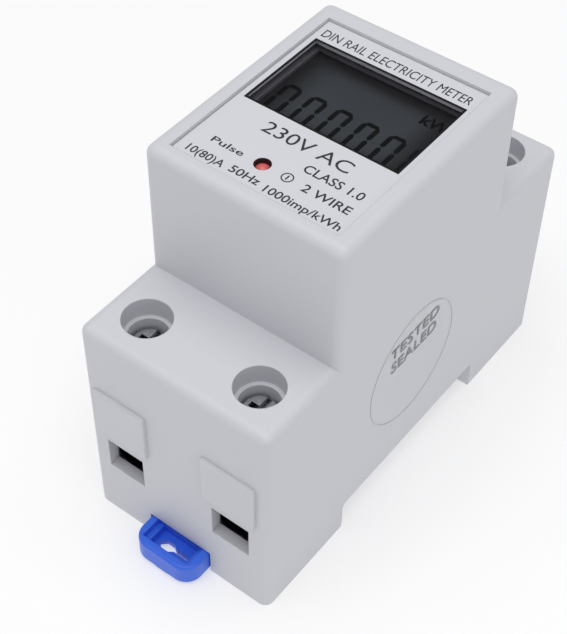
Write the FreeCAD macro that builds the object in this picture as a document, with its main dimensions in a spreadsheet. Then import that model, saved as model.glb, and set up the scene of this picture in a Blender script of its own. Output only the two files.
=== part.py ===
import FreeCAD, Part
import os

import Sketcher

# A single-phase electricity meter, two modules wide, for a 35 mm DIN rail.
# It lies on its back: +Z is the way the display faces, -Y is the end with the rail clip,
# and +X is the right-hand side. The origin is the centre of the rail seat, so heights are
# measured from the rail, as they are on the drawings of such devices.

Vector = FreeCAD.Vector
doc = FreeCAD.newDocument("electricity_meter")
sheet = doc.addObject("Spreadsheet::Sheet", "Sizes")
NODES = []


class Size:
    """A length with its present value and the sheet expression that it is bound to."""

    def __init__(self, value, text):
        self.value = value
        self.text = text

    def joined(self, other, sign, swap=False):
        other = other if isinstance(other, Size) else Size(float(other), "%g" % other)
        left, right = (other, self) if swap else (self, other)
        value = {"+": left.value + right.value, "-": left.value - right.value,
                 "*": left.value * right.value,
                 "/": left.value / (right.value or 1.0)}[sign]
        return Size(value, "(%s %s %s)" % (left.text, sign, right.text))

    def __add__(self, other):
        return self.joined(other, "+")

    def __radd__(self, other):
        return self.joined(other, "+", True)

    def __sub__(self, other):
        return self.joined(other, "-")

    def __rsub__(self, other):
        return self.joined(other, "-", True)

    def __mul__(self, other):
        return self.joined(other, "*")

    def __rmul__(self, other):
        return self.joined(other, "*", True)

    def __truediv__(self, other):
        return self.joined(other, "/")

    def __neg__(self):
        return Size(-self.value, "(0 - %s)" % self.text)


def size(alias, value, note):
    """Writes one driving dimension into the sheet."""
    row = size.row = getattr(size, "row", 0) + 1
    sheet.set("A%d" % row, alias.replace("_", " "))
    sheet.set("B%d" % row, "%g" % value)
    sheet.set("C%d" % row, note)
    sheet.setAlias("B%d" % row, alias)
    return Size(float(value), "Sizes." + alias)


def value_of(item):
    return item.value if isinstance(item, Size) else float(item)


def bind(target, field, item):
    """Sets a field to a size, and ties it to the sheet if the size came from there."""
    if isinstance(item, Size):
        target.setExpression(field, item.text)
    elif "." not in field:
        setattr(target, field, item)
    return target


# ---- driving dimensions, mm ----------------------------------------------------------------

# case
case_width = size("case_width", 36.0, "two DIN modules")
case_length = size("case_length", 79.4, "terminal face to terminal face")
front_height = size("front_height", 61.0, "front face above the rail seat")
shelf_height = size("shelf_height", 37.2, "terminal shelf above the rail seat")
block_near = size("block_near", 23.0, "raised block, near side of the rail centre")
block_far = size("block_far", 22.0, "raised block, far side of the rail centre")
foot_depth = size("foot_depth", 6.0, "feet behind the rail seat")
rail_gap = size("rail_gap", 39.0, "recess across the rail")
rail_round = size("rail_round", 1.0, "rounded corners of that recess")
side_wall = size("side_wall", 2.0, "case side walls")
end_wall = size("end_wall", 2.0, "case end walls")
top_wall = size("top_wall", 3.2, "front face, with the panel recess in it")
shelf_wall = size("shelf_wall", 2.0, "terminal shelf")
top_round = size("top_round", 1.6, "rounding of the case edges")
fit_gap = size("fit_gap", 0.1, "gap round each piece that is set into another")
lug_inset = size("lug_inset", 1.0, "snap lugs from the rail recess")
lug_length = size("lug_length", 1.6, "snap lugs along the case")
lug_low = size("lug_low", 3.0, "snap lugs, lower face")
lug_high = size("lug_high", 4.6, "snap lugs, upper face")
lug_reach = size("lug_reach", 0.6, "snap lugs into the side walls")
catch_gap = size("catch_gap", 0.1, "catch round a snap lug")
catch_deep = size("catch_deep", 0.8, "catch in the side wall")
tab_thick = size("tab_thick", 1.6, "tabs that carry the snap lugs")
tab_high = size("tab_high", 5.6, "top of those tabs")

# front panel and display
panel_width = size("panel_width", 30.0, "label recess across")
panel_near = size("panel_near", 20.4, "label recess, near edge from the rail centre")
panel_far = size("panel_far", 18.0, "label recess, far edge from the rail centre")
panel_sink = size("panel_sink", 0.6, "front panel below the case front")
panel_thick = size("panel_thick", 1.0, "front panel")
window_width = size("window_width", 27.9, "window across")
window_near = size("window_near", -4.8, "window near edge")
window_far = size("window_far", 13.2, "window far edge")
window_flange = size("window_flange", 0.7, "flange of the window under the panel")
flange_thick = size("flange_thick", 0.8, "thickness of that flange")
window_sink = size("window_sink", 0.05, "window below the panel's face")
bezel_wall = size("bezel_wall", 0.8, "bezel wall beside the display glass")
bezel_lip = size("bezel_lip", 0.7, "bezel lip over the display glass")
lip_thick = size("lip_thick", 0.6, "thickness of that lip")
glass_thick = size("glass_thick", 1.8, "display glass")
strip_height = size("strip_height", 2.4, "contact strips")
strip_width = size("strip_width", 1.8, "contact strips")
strip_inset = size("strip_inset", 1.0, "contact strips from the window's ends")
board_thick = size("board_thick", 1.6, "circuit boards")
board_gap = size("board_gap", 0.5, "circuit boards to the case walls")
card_inset = size("card_inset", 2.0, "display board's screws from its ends")
card_side = size("card_side", 2.2, "display board's screws from the side walls")
stud_radius = size("stud_radius", 1.9, "studs of the display board")
card_shank = size("card_shank", 0.8, "radius of the display board's screws")
card_head = size("card_head", 1.7, "radius of their heads")
card_reach = size("card_reach", 5.0, "those screws above the board's underside")
header_pitch = size("header_pitch", 2.54, "pins of the header between the boards")
header_inset = size("header_inset", 2.6, "header from the board's far edge")
header_side = size("header_side", 1.2, "half width of the header's strip")
pin_side = size("pin_side", 0.32, "half width of a header pin")
pin_bore = size("pin_bore", 0.5, "holes for the header pins")
pin_over = size("pin_over", 0.8, "header pins past the boards")

# pulse light
light_x = size("light_x", -2.4, "pulse light from the middle")
light_y = size("light_y", -14.9, "pulse light from the rail centre")
light_hole = size("light_hole", 2.7, "hole in the panel")
light_bore = size("light_bore", 1.5, "radius of the light")
light_sink = size("light_sink", 0.35, "top of the light below the panel's face")
light_clear = size("light_clear", 0.15, "gap round the light in the case")
light_leg = size("light_leg", 1.27, "legs of the light from its middle")
light_wire = size("light_wire", 0.25, "half width of those legs")
light_low = size("light_low", 1.8, "light above the display board")
collar_reach = size("collar_reach", 0.4, "collar round the light")
collar_thick = size("collar_thick", 0.7, "thickness of that collar")
leg_bore = size("leg_bore", 0.45, "holes for the legs")

# terminals
terminal_x = size("terminal_x", 10.7, "terminals each side of the middle")
terminal_inset = size("terminal_inset", 7.5, "screw axis from the near terminal face")
far_inset = size("far_inset", 6.7, "screw axis from the far terminal face")
well_bore = size("well_bore", 4.0, "radius of the screw well")
well_depth = size("well_depth", 3.6, "screw well below the shelf")
head_seat = size("head_seat", 29.7, "seat under the screw head")
head_radius = size("head_radius", 3.0, "terminal screw head")
head_height = size("head_height", 2.0, "terminal screw head")
head_gap = size("head_gap", 0.3, "gap round and under the screw head")
head_round = size("head_round", 0.5, "rounded edge of the screw head")
slot_half = size("slot_half", 0.5, "half width of the slots in the head")
slot_deep = size("slot_deep", 1.0, "long slot")
cross_reach = size("cross_reach", 1.9, "cross slot from the screw's axis")
cross_deep = size("cross_deep", 1.5, "cross slot")
screw_radius = size("screw_radius", 2.5, "terminal screw shank, M5")
screw_play = size("screw_play", 0.05, "radial gap of the screw in the cage")
cage_width = size("cage_width", 10.0, "clamp cage across")
cage_length = size("cage_length", 8.0, "clamp cage along the wire")
cage_wall = size("cage_wall", 1.2, "clamp cage sides")
cage_floor = size("cage_floor", 1.4, "clamp cage floor")
cage_base = size("cage_base", 3.9, "underside of the open cage")
cage_height = size("cage_height", 16.7, "clamp cage")
cage_nut = size("cage_nut", 3.0, "threaded top of the cage")
cage_play = size("cage_play", 0.2, "gap round the cage")
cage_travel = size("cage_travel", 5.6, "rise of the cage, seven turns of the screw")
cage_clear = size("cage_clear", 1.2, "chamber above the risen cage")
chamber_wall = size("chamber_wall", 1.4, "walls round a terminal chamber")
wire_width = size("wire_width", 7.3, "wire opening")
wire_low = size("wire_low", 5.9, "lower edge of the wire opening")
wire_high = size("wire_high", 12.4, "upper edge of the wire opening")
pad_width = size("pad_width", 10.2, "raised pad above the wire opening")
pad_low = size("pad_low", 14.8, "lower edge of the pad")
pad_high = size("pad_high", 24.3, "upper edge of the pad")
pad_proud = size("pad_proud", 0.8, "pad in front of the terminal face")

# current path
bar_low = size("bar_low", 12.9, "underside of the copper bars")
bar_thick = size("bar_thick", 1.5, "copper bars")
bar_width = size("bar_width", 6.0, "copper bars")
bar_gap = size("bar_gap", 0.3, "slots round the copper bars")
tip_gap = size("tip_gap", 0.1, "screw tip above the bar")
shunt_length = size("shunt_length", 9.0, "resistance strip between the two line bars")
shunt_thin = size("shunt_thin", 0.15, "strip below and above the bars' faces")
lead_inset = size("lead_inset", 1.4, "sense leads from the ends of the strip")
lead_radius = size("lead_radius", 0.6, "sense leads")
solder_radius = size("solder_radius", 1.0, "solder at the foot of a sense lead")
prop_y = size("prop_y", 14.0, "bar supports from the rail centre")
prop_half = size("prop_half", 2.0, "half length of a bar support")

# rail base and clip
base_wall = size("base_wall", 2.0, "rail base plate")
hook_reach = size("hook_reach", 3.6, "fixed hook over the rail edge")
hook_drop = size("hook_drop", 1.1, "hook below the rail seat")
hook_thick = size("hook_thick", 1.8, "fixed hook")
hook_width = size("hook_width", 24.0, "fixed hook across")
clip_width = size("clip_width", 12.2, "rail clip across its loop and nose")
shank_gap = size("shank_gap", 0.2, "clip shank to the walls each side")
clip_stroke = size("clip_stroke", 3.6, "travel of the clip to free the rail")
tongue_thick = size("tongue_thick", 1.4, "roof over the clip")
link_width = size("link_width", 5.0, "link to the far core plug")
clip_top = size("clip_top", -1.3, "upper face of the clip")
clip_under = size("clip_under", -5.2, "underside of the clip")
clip_out = size("clip_out", 5.2, "loop in front of the case")
clip_nose = size("clip_nose", 15.8, "clip nose from the rail centre")
clip_play = size("clip_play", 0.2, "gap round the clip")
clip_slope = size("clip_slope", 2.0, "slope under the clip's nose, which the rail's edge lifts")
clip_floor = size("clip_floor", 0.8, "floor of the spring pocket")
tunnel_wall = size("tunnel_wall", 1.6, "walls beside the clip's nose")
loop_round = size("loop_round", 3.0, "outer corners of the loop")
loop_slot = size("loop_slot", 7.4, "screwdriver slot across")
loop_bar = size("loop_bar", 1.9, "front bar of the loop")
loop_rim = size("loop_rim", 1.4, "raised rim of the loop")
rim_high = size("rim_high", 1.2, "height of that rim")
grip_half = size("grip_half", 1.2, "half width of the grip under the loop")
loop_web = size("loop_web", 1.2, "floor of the loop, with the blade's slot in it")
blade_slot = size("blade_slot", 6.0, "blade slot across")
blade_eye = size("blade_eye", 0.9, "half width of the eye at the slot's end")
blade_gap = size("blade_gap", 0.3, "half width of the blade slot")
pocket_width = size("pocket_width", 3.6, "spring pocket in the clip")
pocket_far = size("pocket_far", 25.5, "spring pocket, far end from the rail centre")
post_inset = size("post_inset", 1.5, "spring's stop post from the tongue's end")
post_length = size("post_length", 1.6, "stop post that the spring bears on")
post_gap = size("post_gap", 0.3, "stop post to the near end of the spring pocket")
spring_radius = size("spring_radius", 1.25, "clip spring, middle of the wire")
spring_wire = size("spring_wire", 0.225, "radius of the spring wire")

# main board
board_height = size("board_height", 27.4, "underside of the main board")
pillar_radius = size("pillar_radius", 2.5, "board pillars")
pillar_gap = size("pillar_gap", 1.2, "board pillars to the copper bars")
pillar_y = size("pillar_y", 21.5, "board pillars from the rail centre")
pilot_radius = size("pilot_radius", 1.1, "pilot holes")
pilot_deep = size("pilot_deep", 9.0, "pilot holes")
board_bore = size("board_bore", 1.4, "screw holes in the main board")
board_head = size("board_head", 2.1, "radius of the main board's screw heads")
board_head_high = size("board_head_high", 1.5, "height of those heads")

# inspection sticker
sticker_radius = size("sticker_radius", 11.5, "round sticker")
sticker_thick = size("sticker_thick", 0.1, "round sticker")
sticker_y = size("sticker_y", -1.9, "round sticker from the rail centre")
sticker_z = size("sticker_z", 20.0, "round sticker above the rail seat")

# ---- places worked out from them -----------------------------------------------------------

half_width = case_width / 2
half_length = case_length / 2
half_rail = rail_gap / 2
foot = -foot_depth
inner_x = half_width - side_wall
inner_end = half_length - end_wall
panel_top = front_height - panel_sink
panel_under = panel_top - panel_thick
ledge_under = front_height - top_wall
flange_under = panel_under - flange_thick
glass_top = flange_under - lip_thick
glass_under = glass_top - glass_thick
strip_under = glass_under - strip_height
card_under = strip_under - board_thick
card_near = -block_near + end_wall + board_gap
card_far = block_far - end_wall - board_gap
main_top = board_height + board_thick
near_screw = -half_length + terminal_inset
far_screw = half_length - far_inset
chamber_x = cage_width / 2 + cage_play
chamber_y = cage_length / 2 + cage_play
chamber_top = cage_base + cage_height + cage_travel + cage_clear
bar_top = bar_low + bar_thick
bar_end = cage_length / 2
near_hall = near_screw + chamber_y + chamber_wall
far_hall = far_screw - chamber_y - chamber_wall
hall_x = terminal_x - chamber_x - chamber_wall
tunnel_roof = clip_top + clip_play
tongue_top = tunnel_roof + tongue_thick
shank_x = hall_x - shank_gap
nose_back = half_rail + clip_play
tunnel_back = nose_back + clip_stroke + clip_play
tongue_out = -inner_end + fit_gap
post_near = tongue_out + post_inset
pillar_x = terminal_x - bar_width / 2 - pillar_gap - pillar_radius
CORNERS = ((-1, -1), (1, -1), (-1, 1), (1, 1))


def terminal_y(end):
    return near_screw if end < 0 else far_screw


def chamber_span(end, gap=0.0):
    """A terminal chamber along the wire, from the end wall to the wall behind the cage."""
    if end < 0:
        return (-inner_end + gap, near_screw + chamber_y - gap)
    return (far_screw - chamber_y + gap, inner_end - gap)


# ---- small modelling helpers ---------------------------------------------------------------

def node(label, item):
    """Names a finished sub-part and files it for export."""
    item.Label = label
    NODES.append(item)
    return item


def block(name, x, y, z):
    """A box between two places on each axis."""
    box = doc.addObject("Part::Box", name)
    for (low, high), side, axis in ((x, "Length", "x"), (y, "Width", "y"), (z, "Height", "z")):
        bind(box, side, high - low if isinstance(high, Size) or isinstance(low, Size)
             else float(high - low))
        setattr(box.Placement.Base, axis, value_of(low))
        box.setExpression("Placement.Base." + axis, low.text if isinstance(low, Size) else "%g" % low)
    return box


def rod(name, radius, centre, z):
    """An upright cylinder between two heights."""
    cylinder = doc.addObject("Part::Cylinder", name)
    bind(cylinder, "Radius", radius)
    bind(cylinder, "Height", z[1] - z[0])
    for axis, place in zip("xyz", (centre[0], centre[1], z[0])):
        cylinder.setExpression("Placement.Base." + axis,
                               place.text if isinstance(place, Size) else "%g" % place)
    return cylinder


def fuse(name, items):
    joined = doc.addObject("Part::MultiFuse", name)
    joined.Shapes = items
    return joined


def cut(name, base, tools):
    result = doc.addObject("Part::Cut", name)
    result.Base = base
    result.Tool = tools[0] if len(tools) == 1 else fuse(name + "_tools", tools)
    return result


def new_body(label):
    return node(label, doc.addObject("PartDesign::Body", label + "_body"))


def sketch(body, role, place, outlines):
    """A sketch of closed outlines, each corner tied to the sheet.

    role is the origin plane and place is how far along its normal the sketch lies. An outline
    is a list of corners, or a circle given as ("circle", centre, radius).
    """
    plane = [item for item in body.Origin.OriginFeatures if item.Role == role][0]
    drawing = body.newObject("Sketcher::SketchObject", "Sketch")
    drawing.AttachmentSupport = [(plane, "")]
    drawing.MapMode = "FlatFace"
    drawing.setExpression("AttachmentOffset.Base.z",
                          place.text if isinstance(place, Size) else "%g" % place)

    def tie(kind, *where):
        amount = where[-1]
        index = drawing.addConstraint(Sketcher.Constraint(kind, *where[:-1], value_of(amount)))
        if isinstance(amount, Size):
            drawing.setExpression("Constraints[%d]" % index, amount.text)

    for outline in outlines:
        first = drawing.GeometryCount
        if outline[0] == "circle":
            centre, radius = outline[1], outline[2]
            middle = Vector(value_of(centre[0]), value_of(centre[1]), 0)
            drawing.addGeometry(Part.Circle(middle, Vector(0, 0, 1), value_of(radius)))
            tie("Radius", first, radius)
            tie("DistanceX", -1, 1, first, 3, centre[0])
            tie("DistanceY", -1, 1, first, 3, centre[1])
            continue
        corners = [Vector(value_of(a), value_of(b), 0) for a, b in outline]
        count = len(corners)
        for i in range(count):
            drawing.addGeometry(Part.LineSegment(corners[i], corners[(i + 1) % count]))
        for i in range(count):
            drawing.addConstraint(
                Sketcher.Constraint("Coincident", first + i, 2, first + (i + 1) % count, 1))
        for i, (across, along) in enumerate(outline):
            tie("DistanceX", -1, 1, first + i, 1, across)
            tie("DistanceY", -1, 1, first + i, 1, along)
    return drawing


def rectangle(x, y):
    return [(x[0], y[0]), (x[1], y[0]), (x[1], y[1]), (x[0], y[1])]


def plane_place(role, low, high, cutting):
    """Where a sketch lies so that its feature fills low to high along the world axis."""
    if role == "XZ_Plane":
        return -low if cutting else -high
    return high if cutting else low


def pad(body, role, span, outlines):
    feature = body.newObject("PartDesign::Pad", "Pad")
    feature.Profile = sketch(body, role, plane_place(role, span[0], span[1], False), outlines)
    bind(feature, "Length", span[1] - span[0])
    body.Tip = feature
    return feature


def pocket(body, role, span, outlines):
    feature = body.newObject("PartDesign::Pocket", "Pocket")
    feature.Profile = sketch(body, role, plane_place(role, span[0], span[1], True), outlines)
    bind(feature, "Length", span[1] - span[0])
    body.Tip = feature
    return feature


def rounded(body, radius, wanted, kind="PartDesign::Fillet"):
    """Rounds the edges of the body's last feature whose middle passes the wanted test."""
    doc.recompute()
    base = body.Tip
    names = []
    for number, edge in enumerate(base.Shape.Edges, 1):
        middle = edge.valueAt((edge.FirstParameter + edge.LastParameter) / 2)
        if wanted(middle, edge):
            names.append("Edge%d" % number)
    feature = body.newObject(kind, kind.split("::")[1])
    feature.Base = (base, names)
    bind(feature, "Radius" if kind.endswith("Fillet") else "Size", radius)
    body.Tip = feature
    doc.recompute()
    return feature


def near(a, b):
    return abs(a - value_of(b)) < 1e-4


def upright(edge):
    box = edge.BoundBox
    return box.ZLength > 1e-3 and box.XLength < 1e-6 and box.YLength < 1e-6


# ---- case ----------------------------------------------------------------------------------

def make_case():
    body = new_body("main_case")
    outline = [(-half_length, foot), (-half_rail, foot), (-half_rail, 0.0), (half_rail, 0.0),
               (half_rail, foot), (half_length, foot), (half_length, shelf_height),
               (block_far, shelf_height), (block_far, front_height),
               (-block_near, front_height), (-block_near, shelf_height),
               (-half_length, shelf_height)]
    pad(body, "YZ_Plane", (-half_width, half_width), [outline])

    def outer_edge(middle, edge):
        corner_y = any(near(abs(middle.y), place) for place in (half_length, block_far, block_near))
        corner_x = near(abs(middle.x), half_width)
        if upright(edge):
            return corner_x and corner_y
        top = near(middle.z, front_height)
        shelf = near(middle.z, shelf_height) and abs(middle.y) > block_near.value + 0.01
        return top or shelf

    rounded(body, top_round, outer_edge)
    rounded(body, rail_round, lambda middle, edge:
            near(middle.z, 0.0) and near(abs(middle.y), half_rail) and near(middle.x, 0.0))
    pad(body, "XZ_Plane", (-half_length - pad_proud, half_length + pad_proud),
        [rectangle((side * terminal_x - pad_width / 2, side * terminal_x + pad_width / 2),
                   (pad_low, pad_high)) for side in (-1, 1)])

    # the hollow: a hall for the boards, a chamber for each clamp, and a cored-out middle
    pocket(body, "XY_Plane", (foot, shelf_height - shelf_wall),
           [rectangle((-inner_x, inner_x), (near_hall, far_hall))])
    pocket(body, "XY_Plane", (shelf_height - shelf_wall - 0.5, ledge_under),
           [rectangle((-inner_x, inner_x), (-block_near + end_wall, block_far - end_wall))])
    pocket(body, "XY_Plane", (foot, chamber_top),
           [rectangle((side * terminal_x - chamber_x, side * terminal_x + chamber_x),
                      chamber_span(end)) for side, end in CORNERS])
    pocket(body, "XY_Plane", (foot, shelf_height - shelf_wall),
           [rectangle((-hall_x, hall_x), (-inner_end, near_hall - chamber_wall)),
            rectangle((-hall_x, hall_x), (far_hall + chamber_wall, inner_end))])

    # screw wells: a wide mouth, a ledge, the head's bore, and a hole for the shank
    centres = [(side * terminal_x, terminal_y(end)) for side, end in CORNERS]
    head_bore = head_radius + head_gap
    pocket(body, "XY_Plane", (shelf_height - well_depth, shelf_height + 1.0),
           [("circle", centre, well_bore) for centre in centres])
    pocket(body, "XY_Plane", (head_seat, shelf_height),
           [("circle", centre, head_bore) for centre in centres])
    pocket(body, "XY_Plane", (chamber_top - 0.5, head_seat + 0.5),
           [("circle", centre, screw_radius + head_gap) for centre in centres])

    # wire openings in both end faces, and slots where the bars cross the chamber walls
    openings = [rectangle((side * terminal_x - wire_width / 2, side * terminal_x + wire_width / 2),
                          (wire_low, wire_high)) for side in (-1, 1)]
    pocket(body, "XZ_Plane", (-half_length - 1.0, near_screw), openings)
    pocket(body, "XZ_Plane", (far_screw, half_length + 1.0), openings)
    slots = [rectangle((side * terminal_x - bar_width / 2 - bar_gap,
                        side * terminal_x + bar_width / 2 + bar_gap), (foot, bar_top))
             for side in (-1, 1)]
    pocket(body, "XZ_Plane", (near_screw, near_hall + 0.5), slots)
    pocket(body, "XZ_Plane", (far_hall - 0.5, far_screw), slots)

    # recess for the front panel, with the display opening and the light's hole in its floor
    pocket(body, "XY_Plane", (panel_under, front_height + 1.0),
           [rectangle((-panel_width / 2, panel_width / 2), (-panel_near, panel_far))])
    well = window_flange + bezel_wall + 2 * fit_gap
    pocket(body, "XY_Plane", (ledge_under - 1.0, panel_under),
           [rectangle((-window_width / 2 - well, window_width / 2 + well),
                      (window_near - well, window_far + well)),
            ("circle", (light_x, light_y), light_bore + light_clear)])

    # way in for the rail clip, way across for the base's tongues, and catches for its lugs
    notch = clip_width / 2 + clip_play
    pocket(body, "XZ_Plane", (-half_length - 1.0, -inner_end + 0.5),
           [rectangle((-notch, notch), (foot - 1.0, tunnel_roof))])
    pocket(body, "XZ_Plane", (-inner_end - 0.1, near_hall + 0.5),
           [rectangle((-hall_x, hall_x), (foot - 1.0, tongue_top + fit_gap))])
    pocket(body, "XZ_Plane", (far_hall - 0.5, far_hall + chamber_wall + 0.5),
           [rectangle((-link_width / 2, link_width / 2), (foot - 1.0, foot + base_wall + fit_gap))])
    pocket(body, "YZ_Plane", (-inner_x - catch_deep, inner_x + catch_deep),
           [lug_outline(y, catch_gap) for y in (-1, 1)])
    rounded(body, 0.3, lambda middle, edge: near(abs(middle.y), half_length + pad_proud))
    return body


def lug_outline(end, gap):
    """One snap lug of the base, seen from the side; the case's catch is a gap larger."""
    middle = end * (half_rail + lug_inset)
    return rectangle((middle - lug_length / 2 - gap, middle + lug_length / 2 + gap),
                     (lug_low - gap, lug_high + gap))


def make_posts():
    """Studs under the case's front that the display board is screwed to."""
    studs = []
    for number, (side, end) in enumerate(CORNERS, 1):
        centre = card_screw(side, end)
        stud = rod("CardStud%d" % number, stud_radius, centre, (strip_under, ledge_under))
        pilot = rod("CardPilot%d" % number, card_shank, centre, (strip_under, ledge_under - 0.5))
        studs.append(cut("CardPost%d" % number, stud, [pilot]))
    return studs


def card_screw(side, end):
    """Where one of the display board's screws stands."""
    return (side * (inner_x - card_side), card_near + card_inset if end < 0 else card_far - card_inset)


# ---- front ---------------------------------------------------------------------------------

def make_front_panel():
    body = new_body("front_panel")
    pad(body, "XY_Plane", (panel_under, panel_top),
        [rectangle((-panel_width / 2 + fit_gap, panel_width / 2 - fit_gap),
                   (-panel_near + fit_gap, panel_far - fit_gap))])
    pocket(body, "XY_Plane", (panel_under - 1.0, panel_top),
           [rectangle((-window_width / 2, window_width / 2), (window_near, window_far)),
            ("circle", (light_x, light_y), light_hole / 2)])


def make_window():
    body = new_body("display_window")
    pad(body, "XY_Plane", (flange_under, panel_under),
        [rectangle((-window_width / 2 - window_flange, window_width / 2 + window_flange),
                   (window_near - window_flange, window_far + window_flange))])
    pad(body, "XY_Plane", (panel_under, panel_top - window_sink),
        [rectangle((-window_width / 2 + fit_gap, window_width / 2 - fit_gap),
                   (window_near + fit_gap, window_far - fit_gap))])


def make_bezel():
    body = new_body("display_bezel")
    outer = window_flange + bezel_wall
    pad(body, "XY_Plane", (strip_under, flange_under),
        [rectangle((-window_width / 2 - outer, window_width / 2 + outer),
                   (window_near - outer, window_far + outer))])
    pocket(body, "XY_Plane", (strip_under - 1.0, flange_under),
           [rectangle((-window_width / 2 + bezel_lip, window_width / 2 - bezel_lip),
                      (window_near + bezel_lip / 2, window_far + bezel_lip / 3))])
    pocket(body, "XY_Plane", (strip_under - 1.0, glass_top),
           [rectangle((-window_width / 2 - window_flange, window_width / 2 + window_flange),
                      (window_near - window_flange, window_far + window_flange))])


def make_display_glass():
    """Two bonded sheets; the lower one stands out at both long edges for its contacts."""
    reach = window_flange - fit_gap
    across = (-window_width / 2 - reach, window_width / 2 + reach)
    lower = block("GlassLower", across, (window_near - reach, window_far + reach),
                  (glass_under, glass_under + glass_thick / 2))
    upper = block("GlassUpper", across,
                  (window_near - reach, window_far + reach),
                  (glass_under + glass_thick / 2, glass_top))
    node("lcd_glass", fuse("GlassPair", [lower, upper]))


def make_contact_strips():
    reach = window_flange - fit_gap
    across = (-window_width / 2 + strip_inset, window_width / 2 - strip_inset)
    near_strip = block("StripNear", across,
                       (window_near - reach, window_near - reach + strip_width),
                       (strip_under, glass_under))
    far_strip = block("StripFar", across, (window_far + reach - strip_width, window_far + reach),
                      (strip_under, glass_under))
    node("contact_strips", fuse("StripPair", [near_strip, far_strip]))


def make_display_board():
    card = block("Card", (-inner_x + board_gap, inner_x - board_gap), (card_near, card_far),
                 (card_under, strip_under))
    holes = [rod("CardHole%d" % i, pilot_radius, card_screw(side, end), (card_under - 1, strip_under + 1))
             for i, (side, end) in enumerate(CORNERS)]
    legs = [rod("LegHole%d" % i, leg_bore, (light_x + side * light_leg, light_y),
                (card_under - 1, strip_under + 1)) for i, side in enumerate((-1, 1))]
    pins = [rod("CardPin%d" % i, pin_bore, header_pin(i), (card_under - 1, strip_under + 1))
            for i in range(HEADER_PINS)]
    node("display_board", cut("CardBored", card, holes + legs + pins))


HEADER_PINS = 8


def header_pin(index):
    """The pins of the header between the boards stand in one row near the far wall."""
    return ((index - (HEADER_PINS - 1) / 2.0) * header_pitch, card_far - header_inset)


def make_display_screws():
    screws = []
    for number, (side, end) in enumerate(CORNERS, 1):
        centre = card_screw(side, end)
        head = rod("CardScrewHead%d" % number, card_head, centre, (card_under - 1.2, card_under))
        shank = rod("CardScrewShank%d" % number, card_shank, centre,
                    (card_under - 0.6, card_under + card_reach))
        slot = block("CardScrewSlot%d" % number, (centre[0] - 1.2, centre[0] + 1.2),
                     (centre[1] - 0.25, centre[1] + 0.25), (card_under - 1.3, card_under - 0.7))
        whole = fuse("CardScrew%d" % number, [head, shank])
        screws.append(cut("CardScrewCut%d" % number, whole, [slot]))
    node("display_screws", compound("CardScrews", screws))


def compound(name, items):
    """Separate solids kept in one sub-part."""
    holder = doc.addObject("Part::Compound", name)
    holder.Links = items
    return holder


def make_pulse_light():
    """A round-topped light with its collar and two legs down to the display board."""
    collar_low = strip_under + light_low
    dome_low = panel_top - light_sink - light_bore
    collar = rod("LightCollar", light_bore + collar_reach, (light_x, light_y),
                 (collar_low, collar_low + collar_thick))
    barrel = rod("LightBarrel", light_bore, (light_x, light_y), (collar_low, dome_low))
    dome = doc.addObject("Part::Sphere", "LightDome")
    bind(dome, "Radius", light_bore)
    for axis, place in zip("xyz", (light_x, light_y, dome_low)):
        dome.setExpression("Placement.Base." + axis, place.text)
    places = [light_x + side * light_leg for side in (-1, 1)]
    legs = [block("LightLeg%d" % i, (x - light_wire, x + light_wire),
                  (light_y - light_wire, light_y + light_wire), (card_under - 1.0, collar_low + 0.3))
            for i, x in enumerate(places)]
    node("pulse_led", fuse("Light", [collar, barrel, dome] + legs))

    tube = rod("SpacerTube", light_bore + collar_reach + 0.2, (light_x, light_y), (strip_under, collar_low))
    bores = [rod("SpacerBore%d" % i, leg_bore, (x, light_y), (strip_under, collar_low))
             for i, x in enumerate(places)]
    node("led_spacer", cut("Spacer", tube, bores))


# ---- terminals -----------------------------------------------------------------------------

def make_cage(number, side, end):
    """A box-shaped clamp open along the wire, with the screw's thread in its top."""
    body = new_body("terminal_cage_%d" % number)
    x, y = side * terminal_x, terminal_y(end)
    top = cage_base + cage_height
    outer = rectangle((x - cage_width / 2, x + cage_width / 2),
                      (y - cage_length / 2, y + cage_length / 2))
    pad(body, "XY_Plane", (cage_base, top), [outer])
    rounded(body, cage_wall, lambda middle, edge:
            not upright(edge) and near(abs(middle.x - x.value), cage_width / 2))
    inner = cage_width / 2 - cage_wall
    pocket(body, "XZ_Plane", (y - cage_length, y + cage_length),
           [rectangle((x - inner, x + inner), (cage_base + cage_floor, top - cage_nut))])
    pocket(body, "XY_Plane", (top - cage_nut - 1.0, top + 1.0),
           [("circle", (x, y), screw_radius + screw_play)])


def make_screw(number, side, end):
    """A captive screw whose head takes a flat blade or a cross blade."""
    body = new_body("terminal_screw_%d" % number)
    x, y = side * terminal_x, terminal_y(end)
    head_low = head_seat + head_gap
    head_top = head_low + head_height
    pad(body, "XY_Plane", (head_low, head_top), [["circle", (x, y), head_radius]])
    rounded(body, head_round, lambda middle, edge: near(middle.z, head_top))
    pad(body, "XY_Plane", (bar_top + tip_gap, head_low), [["circle", (x, y), screw_radius]])
    rounded(body, 0.6, lambda middle, edge: near(middle.z, bar_top + tip_gap),
            "PartDesign::Chamfer")
    pocket(body, "XY_Plane", (head_top - slot_deep, head_top + 0.5),
           [rectangle((x - slot_half, x + slot_half), (y - head_radius - 0.5, y + head_radius + 0.5))])
    pocket(body, "XY_Plane", (head_top - cross_deep, head_top + 0.5),
           [rectangle((x - cross_reach, x + cross_reach), (y - slot_half, y + slot_half))])


# ---- current path --------------------------------------------------------------------------

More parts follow.
